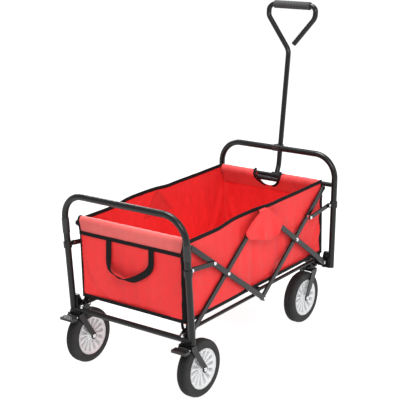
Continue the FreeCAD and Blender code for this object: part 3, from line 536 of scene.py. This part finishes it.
def sew(colour, name, finish):
    """Makes every listed stitch of a colour into one piece."""
    verts, faces, uvs = [], [], []
    for centre, along, n, half in STITCHES[colour]:
        side = np.cross(n, along)
        start = len(verts)
        for at, wide in ((-1.0, 0.25), (-0.55, 1.0), (0.55, 1.0), (1.0, 0.25)):
            for s, up in ((-1.0, 0.0), (-0.55, 0.8), (0.55, 0.8), (1.0, 0.0)):
                lift = 0.00045 * up * wide - 0.0001
                verts.append(centre + along * half * at + side * 0.00042 * s * wide + n * lift)
        for i in range(3):
            for j in range(4):
                a, b = start + i * 4 + j, start + i * 4 + (j + 1) % 4
                faces.append([a, b, b + 4, a + 4])
                uvs += [(i * 0.001, j * 0.0004), (i * 0.001, j * 0.0004 + 0.0004)]
                uvs += [(i * 0.001 + 0.001, j * 0.0004 + 0.0004), (i * 0.001 + 0.001, j * 0.0004)]
    return mesh_object(name, verts, faces, uvs, finish, 80.0)


# ---------------------------------------------------------------- tub walls

# The cloth's middle layer, a little inside the solid it stands for.
WALL_X = HALF_X - 0.0016
WALL_Y = HALF_Y - 0.0024
WALL_LOW = TUB_LOW.z + 0.0026
# Heights of the edge at the ends, under the rolls, and along the sides, and its lift near the middle.
END_TOP = 0.4600
SIDE_TOP = 0.4995
SIDE_LIFT = 0.0115
CORNER = 0.013
CELL = 0.0090
ROWS = 30
# How far the settled cloth may stand outside and inside its flat place.
OUT_LIMIT, IN_LIMIT = 0.0016, 0.012
TOP_TAPE_WIDTH = 0.0105
# A row of stitches runs this far from the edge of the top tape.
TOP_STITCH = 0.0080

# The U in the front wall round the handle's foot: middle, height of its centre, radius.
NOTCH_Y, NOTCH_Z, NOTCH_R = 0.007, 0.508, 0.051
# The outer layer is cut back this much further, so that one edge shows from inside.
NOTCH_BACK = 0.010


def outline():
    """The tub's outline seen from above, with the side each point belongs to."""
    x, y = WALL_X - CORNER, WALL_Y - CORNER
    sides = [
        ("right", (-x, -WALL_Y), (x, -WALL_Y), (x, -y), -90),
        ("front", (WALL_X, -y), (WALL_X, y), (x, y), 0),
        ("left", (x, WALL_Y), (-x, WALL_Y), (-x, y), 90),
        ("rear", (-WALL_X, y), (-WALL_X, -y), (-x, -y), 180),
    ]
    points, names = [], []
    for name, start, end, centre, turn in sides:
        cells = int(round(math.dist(start, end) / CELL))
        for k in range(cells + 1):
            t = k / cells
            points.append((start[0] + (end[0] - start[0]) * t, start[1] + (end[1] - start[1]) * t))
            names.append(name)
        for k in range(1, 4):
            a = math.radians(turn + 90 * k / 4)
            points.append((centre[0] + CORNER * math.cos(a), centre[1] + CORNER * math.sin(a)))
            names.append("corner")
    return np.array(points), np.array(names)


def side_top(x):
    """Height of a side wall's edge: it is lifted at the middle pivot, and most of all behind it."""
    lifted = SIDE_LIFT * np.exp(-(((x + 0.08) / 0.115) ** 4))
    return SIDE_TOP + lifted + 0.0065 * ease(x, -0.03, 0.12) + 0.002 * ease(x, 0.2, HALF_X)


def notch_edge(y):
    """Height of the U's edge in the outer layer, and far above the wall outside the U."""
    inside = np.clip((NOTCH_R + NOTCH_BACK) ** 2 - (y - NOTCH_Y) ** 2, 0, None)
    return np.where(inside > 0, NOTCH_Z - np.sqrt(inside), 9.0)


def wall_grid():
    """The walls' flat places, with the side and the plan position of each column."""
    points, names = outline()
    x, y = points[:, 0], points[:, 1]
    front_top = np.minimum(END_TOP, notch_edge(y) - 0.0030)
    toward_end = ease(np.abs(x), WALL_X - CORNER, WALL_X - 0.002)
    flat_end = np.where(x > 0, front_top, END_TOP)
    top = side_top(x) * (1 - toward_end) + flat_end * toward_end
    v = np.linspace(0, 1, ROWS)
    z = WALL_LOW + (top[:, None] - WALL_LOW) * v[None]
    return np.stack([MID_X + x[:, None] + 0 * z, y[:, None] + 0 * z, z], axis=2), names, x, y


wall, side_of, wall_x, wall_y = wall_grid()
COLUMNS = len(side_of)
flat_wall = wall.copy()
flat_normal = patch_normals(wall, True)

# A slight fullness, so that the cloth settles into folds in the same places each time.
run = np.arange(COLUMNS) / COLUMNS
fullness = np.zeros(COLUMNS)
for wave, size in ((9, 0.0011), (17, 0.0009), (29, 0.0006), (47, 0.0004)):
    fullness += size * np.sin(2 * math.pi * (wave * run + random.random()))
belly = np.sin(math.pi * np.linspace(0, 1, ROWS)) ** 0.7
off_corner = np.where(side_of == "corner", 0.0, 1.0)
wall += flat_normal * (fullness * off_corner)[:, None, None] * belly[None, :, None]


def settle(grid, pin, frames, growth):
    """Runs Blender's cloth on a closed ring of points and returns where they come to rest."""
    nu, nv = grid.shape[:2]
    faces, _ = grid_faces(nu, nv, True)
    mesh = bpy.data.meshes.new("settling")
    mesh.from_pydata(grid.reshape(-1, 3).tolist(), [], faces)
    made = bpy.data.objects.new("settling", mesh)
    bpy.context.scene.collection.objects.link(made)
    held = made.vertex_groups.new(name="held")
    for index, weight in enumerate(pin.ravel()):
        if weight > 0:
            held.add([index], float(weight), "REPLACE")
    cloth = made.modifiers.new("cloth", "CLOTH")
    cloth.settings.quality = 6
    cloth.settings.mass = 0.30
    cloth.settings.tension_stiffness = 12
    cloth.settings.compression_stiffness = 6
    cloth.settings.shear_stiffness = 5
    cloth.settings.bending_stiffness = 0.8
    cloth.settings.air_damping = 4
    cloth.settings.vertex_group_mass = "held"
    cloth.settings.shrink_min = -growth
    cloth.point_cache.frame_start = 1
    cloth.point_cache.frame_end = frames
    for number in range(1, frames + 1):
        bpy.context.scene.frame_set(number)
    seen = made.evaluated_get(bpy.context.evaluated_depsgraph_get())
    moved = np.array([v.co for v in seen.data.vertices], float).reshape(nu, nv, 3)
    bpy.data.objects.remove(made)
    bpy.context.scene.frame_set(1)
    return moved


hold = np.zeros((COLUMNS, ROWS))
hold[:, -1] = 1.0
hold[:, -2] = 0.6
hold[:, 0] = 1.0
hold[side_of == "corner"] = 1.0
wall = settle(wall, hold, 34, 0.010)

# Nothing may lean out into the scissor links; inward the folds stay as they fell.
away = ((wall - flat_wall) * flat_normal).sum(axis=2)
limit = np.where(away > 0, OUT_LIMIT, IN_LIMIT)
wall = wall + flat_normal * (limit * np.tanh(away / limit) - away)[:, :, None]

tub_cloth = shell("tub_cloth", wall, RED, closed=True)
wall_normal = patch_normals(wall, True)
# The way down from each column's top edge.
down = unit(wall[:, -3] - wall[:, -1])
with_walls = []


def edge_tape(name, keep_columns):
    """Black tape folded over the walls' top edge along the chosen columns."""
    path = wall[keep_columns, -1]
    out = wall_normal[keep_columns, -1]
    gap = CLOTH / 2 + 0.0002
    section = folded_section(TOP_TAPE_WIDTH, gap, TAPE)
    with_walls.append(sweep(name, path, down[keep_columns], out, section, BLACK))
    line = path + down[keep_columns] * TOP_STITCH
    stitch("black", line + out * (gap + TAPE), out)
    stitch("black", line - out * (gap + TAPE), -out)


for side in ("right", "left"):
    edge_tape(f"top_tape_{side}", np.where(side_of == side)[0])

# Tape round the bottom edge, a little above it so that it laps the wall.
foot_out = wall_normal[:, 0].copy()
foot_out[:, 2] = 0
foot_out = unit(foot_out)
foot_up = np.tile([0.0, 0.0, 1.0], (COLUMNS, 1))
foot_path = wall[:, 0] + foot_up * 0.0052 + foot_out * (CLOTH / 2)
foot_rise = ((wall[:, 1] - wall[:, 0]) * foot_out).sum(axis=1, keepdims=True)
foot_path += foot_out * np.clip(foot_rise, 0, 0.0008)
with_walls.append(
    sweep("bottom_tape", foot_path, foot_up, foot_out, flat_section(0.0060, TAPE, 0.0003), BLACK, closed=True)
)
stitch("black", foot_path + foot_up * 0.0035 + foot_out * (TAPE + 0.0003), foot_out)

# Radius of the piping in the corner seams.
PIPING = 0.0011
# How many columns of the wall a corner's tape laps, before and after the corner.
TAPE_COLUMNS = {(1, -1): (2, 1), (1, 1): (1, 2), (-1, 1): (1, 1), (-1, -1): (1, 1)}


def corner_tape(x_sign, y_sign):
    """Tape down a corner of the tub, bent round it."""
    quarter = (np.sign(wall_x) == x_sign) & (np.sign(wall_y) == y_sign)
    on_corner = np.where((side_of == "corner") & quarter)[0]
    before, after = TAPE_COLUMNS[x_sign, y_sign]
    strip = [column % COLUMNS for column in range(on_corner[0] - before, on_corner[-1] + after + 1)]
    grid = wall[strip] + wall_normal[strip] * (CLOTH / 2 + 0.0007)
    name = f"corner_tape_{'front' if x_sign > 0 else 'rear'}_{'left' if y_sign > 0 else 'right'}"
    with_walls.append(shell(name, grid[:, 1:], BLACK, TAPE))
    middle = on_corner[1]
    for column in (strip[0], strip[-1]):
        line = wall[column, 1:] + wall_normal[column, 1:] * (CLOTH / 2 + TAPE + 0.0008)
        stitch("black", line, wall_normal[column, 1:])
    seam = wall[middle, 1:-1] - wall_normal[middle, 1:-1] * (CLOTH / 2)
    inward = -wall_normal[middle, 1:-1]
    side_way = unit(np.cross(np.gradient(seam, axis=0), inward))
    turns = np.linspace(0, 2 * math.pi, 8, endpoint=False)
    piping = [(PIPING * math.cos(a), PIPING * math.sin(a)) for a in turns]
    with_walls.append(sweep(name.replace("tape", "seam"), seam, side_way, inward, piping, RED_PAD))


for x_sign in (-1, 1):
    for y_sign in (-1, 1):
        corner_tape(x_sign, y_sign)

# ---------------------------------------------------------------- floor of the tub


def base_sheet():
    """The tub's taut base, which carries the pad."""
    xs = np.linspace(-WALL_X + 0.001, WALL_X - 0.001, 90)
    ys = np.linspace(-WALL_Y + 0.001, WALL_Y - 0.001, 50)
    gx, gy = np.meshgrid(xs, ys, indexing="ij")
    sag = 0.0007 * np.sin(gx * 23) * np.sin(gy * 31 + 1.0)
    z = TUB_LOW.z + 0.0012 + sag * 0.5
    return shell("tub_base", np.stack([MID_X + gx, gy, z], axis=2), RED_PAD)


tub_base = base_sheet()


def floor_pad():
    """The stiffened pad in the bottom: a crowned quilt with folds sewn across it."""
    low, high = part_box("floor_mat")
    half_x, half_y = (high.x - low.x) / 2 - 0.0015, (high.y - low.y) / 2 - 0.0015
    thick = high.z - low.z
    xs = np.linspace(-half_x, half_x, 221)
    ys = np.linspace(-half_y, half_y, 101)
    gx, gy = np.meshgrid(xs, ys, indexing="ij")
    edge = np.minimum(half_x - np.abs(gx), half_y - np.abs(gy))
    crown = ease(edge, 0.0, 0.012)
    folds = np.ones_like(gx)
    for at in (-half_x / 2, 0.0, half_x / 2):
        folds *= 1 - 0.72 * np.exp(-(((gx - at) / 0.0045) ** 2))
    ripple = 0.0004 * np.sin(gx * 41 + 2.0 * np.sin(gy * 17)) * np.sin(gy * 37)
    top = low.z + 0.0012 + (thick - 0.0016) * crown * folds + ripple * crown
    bottom = np.full_like(top, low.z + 0.0004)
    surface = np.stack([MID_X + gx, gy, top], axis=2)
    under = np.stack([MID_X + gx, gy, bottom], axis=2)
    nu, nv = gx.shape
    faces, corners = grid_faces(nu, nv, False)
    back, back_corners = grid_faces(nu, nv, False, offset=nu * nv, flip=True)
    border = [(i, 0) for i in range(nu)] + [(nu - 1, j) for j in range(1, nv)]
    border += [(i, nv - 1) for i in reversed(range(nu - 1))] + [(0, j) for j in reversed(range(1, nv - 1))]
    for a, b in zip(border, border[1:] + border[:1]):
        ia, ib = a[0] * nv + a[1], b[0] * nv + b[1]
        faces.append([ib, ia, ia + nu * nv, ib + nu * nv])
        corners.append([b, a, a, b])
    run_x, run_y = xs + half_x, ys + half_y
    uvs = [(run_x[a], run_y[b]) for marks in corners + back_corners for a, b in marks]
    verts = np.concatenate([surface.reshape(-1, 3), under.reshape(-1, 3)])
    made = mesh_object("floor_pad", verts, faces + back, uvs, RED_PAD)
    up = np.tile([0.0, 0.0, 1.0], (2, 1))
    for at in (-half_x / 2, 0.0, half_x / 2):
        z = low.z + 0.0012 + (thick - 0.0016) * 0.28
        line = np.array([[MID_X + at, -half_y + 0.01, z], [MID_X + at, half_y - 0.01, z]])
        stitch("red", line, up, 0.0035, 0.0020)
    return made


pad = floor_pad()

# ---------------------------------------------------------------- sleeves over the end bars


def drop_loop(bar, out, wide, tall, rise, foot_in, foot_out, foot_z):
    """A teardrop round a bar, from its inner foot over the top to its outer foot, as (x, z)."""
    bar_x, bar_z = bar
    centre = np.array([bar_x + out * 0.0010, bar_z + rise])
    inner = np.array([foot_in, foot_z])
    outer = np.array([foot_out, foot_z])
    arc = np.linspace(math.radians(200), math.radians(-15), 22)
    ring = centre + np.stack([out * wide * np.cos(arc), tall * np.sin(arc)], axis=1)
    inner_side, outer_side = inner * 0.45 + ring[0] * 0.55, outer * 0.5 + ring[-1] * 0.5
    line = np.concatenate([[inner, inner_side], ring, [outer_side, outer]])
    line = np.stack([line[:, 0], 0 * line[:, 0], line[:, 1]], axis=1)
    return curve_through(line, 0.0035)[:, [0, 2]]


def sleeve(name, loop, y_low, y_high, finish, out):
    """Cloth round a bar between two end lines, each given for every point of the loop."""
    cells = 52
    t = np.linspace(0, 1, cells)
    y = y_low[None] * (1 - t[:, None]) + y_high[None] * t[:, None]
    x = np.tile(loop[:, 0], (cells, 1))
    z = np.tile(loop[:, 1], (cells, 1))
    height = ease(z, loop[:, 1].min(), loop[:, 1].max())
    pucker = 0.0006 * np.sin(y * 61 + 1.7 * np.sin(y * 23)) * (1 - height * 0.6)
    pucker += 0.0003 * np.sin(y * 190 + 40 * z)
    grid = np.stack([x, y, z], axis=2)
    grid += patch_normals(grid, False) * pucker[:, :, None]
    return shell(name, grid if out < 0 else grid[:, ::-1], finish), grid


# Rear: the wide band that laps the outside of the end panel.
REAR_WALL = MID_X - WALL_X
APRON_FOOT = 0.4545
rear_loop = drop_loop(
    REAR_BAR, -1, 0.0130, 0.0180, 0.0080, REAR_WALL + 0.0035, REAR_WALL - 0.0030, APRON_FOOT
)
lift = ease(rear_loop[:, 1], APRON_FOOT, 0.500)
left_line = 0.2035 + 0.0100 * lift
right_line = -(0.2060 + 0.0055 * lift)
apron, apron_grid = sleeve("apron", rear_loop, right_line, left_line, RED_BAND_PAINTED_SHEEN, -1)
apron_with = []
outside = apron_grid[:, -1]
outward = np.tile([-1.0, 0.0, 0.0], (len(outside), 1))
upward = np.tile([0.0, 0.0, 1.0], (len(outside), 1))
band = flat_section(0.0062, TAPE, 0.0008)
apron_with.append(sweep("apron_tape", outside + upward * 0.0030, upward, outward, band, BLACK))
stitch("black", outside + upward * 0.0065 + outward * (TAPE + 0.0010), outward)
for name, column, inward_y in (("apron_end_left", -1, -1.0), ("apron_end_right", 0, 1.0)):
    # Only the outer half of the loop shows its bound end.
    start = int(len(rear_loop) * 0.42)
    path = apron_grid[column, start:]
    normal = patch_normals(apron_grid, False)[column, start:]
    from_bar = path - np.array([REAR_BAR[0], path[0, 1], REAR_BAR[1]])
    normal = normal * np.median(np.sign((normal * from_bar).sum(axis=1)))
    across = np.tile([0.0, inward_y, 0.0], (len(path), 1))
    band = flat_section(0.0040, TAPE, 0.0007)
    apron_with.append(sweep(name, path + across * 0.0035, across, normal, band, BLACK))

# Front: the sleeve is cut by the U round the handle's foot, and both cut edges are bound.
FRONT_WALL = MID_X + WALL_X
front_loop = drop_loop(
    FRONT_BAR, 1, 0.0125, 0.0170, 0.0085, FRONT_WALL - 0.0042, FRONT_WALL + 0.0030, 0.4400
)
radius = NOTCH_R + NOTCH_BACK * ease(front_loop[:, 0], FRONT_BAR[0] - 0.006, FRONT_BAR[0] + 0.010)
radius[: len(radius) // 3] = NOTCH_R
reach = np.sqrt(np.clip(radius**2 - (NOTCH_Z - front_loop[:, 1]) ** 2, 0, None))
front_sleeves = []
front_with = []
for name, sign in (("front_sleeve_left", 1), ("front_sleeve_right", -1)):
    cut = NOTCH_Y + sign * np.maximum(reach, 0.0004)
    end = np.full(len(front_loop), sign * 0.2060)
    low, high = (cut, end) if sign > 0 else (end, cut)
    piece, grid = sleeve(name, front_loop, low, high, RED_ROLL_PAINTED_HIGHLIGHT, 1)
    front_sleeves.append(piece)
    column = 0 if sign > 0 else -1
    open_edge = reach > 0.0012
    path = grid[column][open_edge]
    from_bar = path - np.array([FRONT_BAR[0], 0.0, FRONT_BAR[1]])
    from_bar[:, 1] = 0
    normal = patch_normals(grid, False)[column][open_edge]
    normal *= np.median(np.sign((normal * from_bar).sum(axis=1)))
    tangent = unit(np.gradient(path, axis=0))
    across = unit(np.cross(normal, tangent))
    across *= np.sign(across[:, 1:2] * sign)
    band = flat_section(BINDING, TAPE, 0.0007)
    front_with.append(sweep(name + "_binding", path + across * 0.0040, across, normal, band, BLACK))

# Tape ends of the U that stand up a little above the roll.
for label, sign in (("left", 1), ("right", -1)):
    y = NOTCH_Y + sign * (NOTCH_R + 0.0005)
    z = front_loop[:, 1].max()
    points = [
        (FRONT_BAR[0] - 0.0085, y, z - 0.0065),
        (FRONT_BAR[0] - 0.0040, y + sign * 0.0006, z + 0.0022),
        (FRONT_BAR[0] - 0.0025, y + sign * 0.0018, z + 0.0075),
    ]
    path = curve_through(points, 0.0015)
    across = np.tile([0.0, 1.0, 0.0], (len(path), 1))
    normal = unit(np.cross(across, np.gradient(path, axis=0)))
    front_with.append(sweep(f"notch_tab_{label}", path, across, normal, flat_section(0.0042, 0.0016), BLACK))

# ---------------------------------------------------------------- hoods over the middle pivots

RIVET_LOW, RIVET_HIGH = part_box("middle_top_rivets")
PIVOT_X = (RIVET_LOW.x + RIVET_HIGH.x) / 2
HOOD_IN = WALL_Y + 0.0012
HOOD_OUT = RIVET_HIGH.y + 0.0012
HOOD_TOP = 0.5040
# The hood's half widths toward each end, at these shares of its height from the top.
HOOD_DOWN = [0.0, 0.08, 0.20, 0.43, 0.60, 0.74, 0.88, 1.0]
HOOD_REAR = [0.0200, 0.0350, 0.0540, 0.0860, 0.1080, 0.1140, 0.1060, 0.0900]
HOOD_FRONT = [0.0120, 0.0230, 0.0380, 0.0640, 0.0830, 0.0960, 0.1010, 0.0900]


def hood(name, sign):
    """A rounded triangle of cloth sewn on at its top, standing off the wall over the links."""
    nu, nv = 49, 37
    u, v = np.meshgrid(np.linspace(-1, 1, nu), np.linspace(0, 1, nv), indexing="ij")
    half = np.where(u < 0, np.interp(v, HOOD_DOWN, HOOD_REAR), np.interp(v, HOOD_DOWN, HOOD_FRONT))
    x = PIVOT_X + 0.001 + u * half
    hang = np.interp(u, [-1.0, -0.5, 0.0, 0.45, 0.8, 1.0], [0.0, 0.013, 0.025, 0.033, 0.018, 0.0])
    z = HOOD_TOP - (0.078 + hang * v) * v
    stand = ease(v, -0.06, 0.06)
    edge = 1 - 0.10 * np.abs(u) ** 3 * (1 - v)
    folds = 0.0026 * np.sin(u * 7.2 + 0.7 + 1.5 * v) * ease(v, 0.15, 0.9)
    folds += 0.0014 * np.sin(u * 15.0 - 3 * v) * ease(v, 0.30, 1.0)
    flare = 0.0050 * ease(v, 0.60, 1.0) * (0.4 + 0.6 * np.abs(u))
    y = HOOD_IN + (HOOD_OUT - HOOD_IN) * stand * edge + (folds + flare) * stand
    grid = np.stack([x, sign * y, z], axis=2)
    made = shell(name, grid if sign > 0 else grid[:, ::-1], RED)
    normal = patch_normals(grid, False)
    normal *= np.sign(np.median(normal[:, :, 1]) * sign)
    above = grid + normal * ON_CLOTH
    stitch("red", above[1:-1, nv - 3], normal[1:-1, nv - 3])
    for column in (2, nu - 3):
        stitch("red", above[column, 2:], normal[column, 2:])
    return made


def inner_patch(name, sign):
    """The stitched reinforcement inside the wall, behind the hood."""
    nu, nv = 31, 25
    columns = np.where(side_of == ("left" if sign > 0 else "right"))[0]
    order = columns[np.argsort(wall_x[columns])]
    xs = wall[order][:, ROWS // 2, 0]
    u = np.linspace(-1, 1, nu)
    v = np.linspace(0, 1, nv)
    grid = np.zeros((nu, nv, 3))
    for i in range(nu):
        for j in range(nv):
            x = PIVOT_X + u[i] * (0.010 + 0.066 * v[j])
            z = 0.4925 - 0.078 * v[j] - 0.003 * (1 - u[i] ** 2) * v[j]
            at = np.interp(x, xs, np.arange(len(order)))
            a = int(min(at, len(order) - 2))
            part = at - a
            column = wall[order[a]] * (1 - part) + wall[order[a + 1]] * part
            y = np.interp(z, column[:, 2], column[:, 1])
            grid[i, j] = (x, y - sign * (CLOTH / 2 + 0.0011), z)
    made = shell(name, grid if sign > 0 else grid[:, ::-1], RED_PAD, 0.0010)
    inward = np.tile([0.0, -float(sign), 0.0], (nv, 1))
    for column in (1, nu - 2):
        stitch("red", grid[column] + inward * ON_CLOTH, inward)
    inward = np.tile([0.0, -float(sign), 0.0], (nu, 1))
    for row in (1, nv - 2):
        stitch("red", grid[:, row] + inward * ON_CLOTH, inward)
    return made


hoods = [hood("pocket_hood_right", -1), hood("pocket_hood_left", 1)]
patches = [inner_patch("inner_patch_right", -1), inner_patch("inner_patch_left", 1)]

# ---------------------------------------------------------------- webbing

STRAP_ENDS = (0.0800, -0.0880)
STRAP_HALF = 0.0105


def carry_loop():
    """The webbing loop under the band: flat at its sewn ends, turned on edge at the bottom."""
    face = MID_X - WALL_X - 0.0052
    points = [
        (face, STRAP_ENDS[0], 0.4540),
        (face - 0.0015, 0.0812, 0.4150),
        (face - 0.0040, 0.0815, 0.3780),
        (face - 0.0075, 0.0730, 0.3590),
        (face - 0.0100, 0.0480, 0.3470),
        (face - 0.0110, 0.0180, 0.3405),
        (face - 0.0105, -0.0160, 0.3460),
        (face - 0.0080, -0.0480, 0.3620),
        (face - 0.0050, -0.0760, 0.3830),
        (face - 0.0025, -0.0868, 0.4020),
        (face - 0.0010, -0.0880, 0.4260),
        (face, STRAP_ENDS[1], 0.4540),
    ]
    path = curve_through(points, 0.0035)
    t = np.linspace(0, 1, len(path))
    tangent = unit(np.gradient(path, axis=0))
    out = np.tile([-1.0, 0.0, 0.0], (len(path), 1))
    flat = unit(np.cross(out, tangent))
    turn = np.radians(68) * np.exp(-(((t - 0.43) / 0.14) ** 2))
    turn += np.radians(12) * np.exp(-(((t - 0.72) / 0.1) ** 2))
    face_out = unit(np.cross(tangent, flat))
    face_out *= np.sign((face_out * out).sum(axis=1, keepdims=True))
    across = unit(flat * np.cos(turn)[:, None] + face_out * np.sin(turn)[:, None])
    normal = unit(np.cross(tangent, across))
    normal *= np.sign(normal[:, :1] * -1 + 1e-9)
    made = sweep("carry_webbing", path, across, normal, flat_section(STRAP_HALF, 0.0015, -0.0007), BLACK)
    for y in STRAP_ENDS:
        corners = [(-0.008, 0.440), (0.008, 0.440), (0.008, 0.4515), (-0.008, 0.4515), (-0.008, 0.440)]
        line = np.array([[face - 0.0013, y + a, z] for a, z in corners])
        normals = np.tile([-1.0, 0.0, 0.0], (len(line), 1))
        for k in range(4):
            stitch("black", line[k : k + 2], normals[k : k + 2], 0.0024, 0.0010)
    return made


def tie(name, x_sign, y_sign):
    """A short loop of tape that ties a bottom corner of the tub to the frame."""
    x = MID_X + x_sign * (WALL_X - 0.012)
    y = y_sign * (WALL_Y - 0.004)
    points = [
        (x, y, WALL_LOW + 0.006),
        (x, y - y_sign * 0.001, WALL_LOW - 0.006),
        (x, y - y_sign * 0.004, WALL_LOW - 0.0205),
        (x, y - y_sign * 0.0110, WALL_LOW - 0.0275),
        (x, y - y_sign * 0.0185, WALL_LOW - 0.0215),
        (x, y - y_sign * 0.0205, WALL_LOW - 0.006),
        (x, y - y_sign * 0.0195, WALL_LOW - 0.001),
    ]
    path = curve_through(points, 0.0020)
    across = np.tile([1.0, 0.0, 0.0], (len(path), 1))
    normal = unit(np.cross(np.gradient(path, axis=0), across))
    return sweep(name, path, across, normal, flat_section(0.0060, 0.0012, -0.0006), BLACK)


strap = carry_loop()
ties = [
    tie(f"tie_{'front' if a > 0 else 'rear'}_{'left' if b > 0 else 'right'}", a, b)
    for a in (-1, 1)
    for b in (-1, 1)
]
stitches_black = sew("black", "stitches_black", THREAD_BLACK)
stitches_red = sew("red", "stitches_red", THREAD_RED)

# ---------------------------------------------------------------- how the cloth belongs to the frame

seams = [piece for piece in with_walls if "seam" in piece.name]
tapes = [piece for piece in with_walls if "seam" not in piece.name]
reds = [tub_cloth, tub_base, apron, *front_sleeves, *hoods, *patches, stitches_red, *seams]
blacks = [strap, *ties, *apron_with, *front_with, stitches_black, *tapes]
for piece in [*reds, *blacks, pad]:
    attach(piece, "tub")
    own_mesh(piece)

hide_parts("tub_walls")
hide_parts("floor_mat")
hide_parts("rear_apron")
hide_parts("carry_strap")
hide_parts("side_pockets")

# ---------------------------------------------------------------- floor, light and camera


def floor_plane():
    """A dark grey floor that glows nearly white, so it looks white and still takes a faint shadow."""
    made, tree, shader = material("studio_floor")
    place = object_place(tree)
    tone = mix_colour(tree, noise(tree, place, 1.5, 2.0), rgb(0.20, 0.20, 0.20), rgb(0.22, 0.22, 0.22))
    put(tree, shader.inputs["Base Color"], tone)
    shader.inputs["Roughness"].default_value = 0.9
    shader.inputs["Specular IOR Level"].default_value = 0.1
    shader.inputs["Emission Color"].default_value = rgb(1.0, 1.0, 1.0)
    shader.inputs["Emission Strength"].default_value = 0.92
    far = 40.0
    verts = [(-far, -far, 0), (far, -far, 0), (far, far, 0), (-far, far, 0)]
    plane = mesh_object("studio_floor", verts, [[0, 1, 2, 3]], [(0, 0), (1, 0), (1, 1), (0, 1)], made)


def softbox(name, place, aim, wide, tall, watts):
    """A rectangular studio light that faces its aim."""
    data = bpy.data.lights.new(name, "AREA")
    data.shape = "RECTANGLE"
    data.size, data.size_y, data.energy = wide, tall, watts
    made = bpy.data.objects.new(name, data)
    made.location = place
    made.rotation_euler = (Vector(aim) - Vector(place)).to_track_quat("-Z", "Y").to_euler()
    bpy.context.scene.collection.objects.link(made)


floor_plane()
softbox("key", (-2.6, -2.6, 3.2), (0, 0, 0.4), 1.6, 1.6, 98)
softbox("side", (1.6, -3.4, 1.8), (0, 0, 0.4), 0.9, 2.4, 24)
softbox("top", (0.2, 0.4, 3.6), (0, 0, 0.3), 1.6, 1.6, 150)
softbox("back", (1.8, 2.8, 2.2), (0, 0, 0.5), 1.2, 1.2, 40)
world = bpy.data.worlds.new("studio")
world.use_nodes = True
sky = world.node_tree.nodes["Background"]
sky.inputs["Color"].default_value = rgb(1.0, 1.0, 1.0)
sky.inputs["Strength"].default_value = 0.55
bpy.context.scene.world = world
bpy.context.scene.view_settings.view_transform = "Standard"


def main_camera(place, azimuth, elevation, roll, lens):
    """The camera. Azimuth and elevation say which side it looks from, in degrees, and roll tilts it."""
    around, above, tilt = (math.radians(angle) for angle in (azimuth, elevation, roll))
    back = Vector((math.sin(around) * math.cos(above), -math.cos(around) * math.cos(above), math.sin(above)))
    right = Vector((0, 0, 1)).cross(back).normalized()
    up = back.cross(right)
    tilted_right = right * math.cos(tilt) + up * math.sin(tilt)
    tilted_up = up * math.cos(tilt) - right * math.sin(tilt)
    data = bpy.data.cameras.new("view")
    data.lens = lens
    data.sensor_width = 36.0
    data.dof.use_dof = False
    made = bpy.data.objects.new("view", data)
    turn = Matrix((tilted_right, tilted_up, back)).transposed().to_4x4()
    made.matrix_world = Matrix.Translation(place) @ turn
    bpy.context.scene.collection.objects.link(made)
    bpy.context.scene.camera = made


main_camera((-2.8494, -2.1021, 1.5339), -52.836, 16.463, -1.164, 99.70)
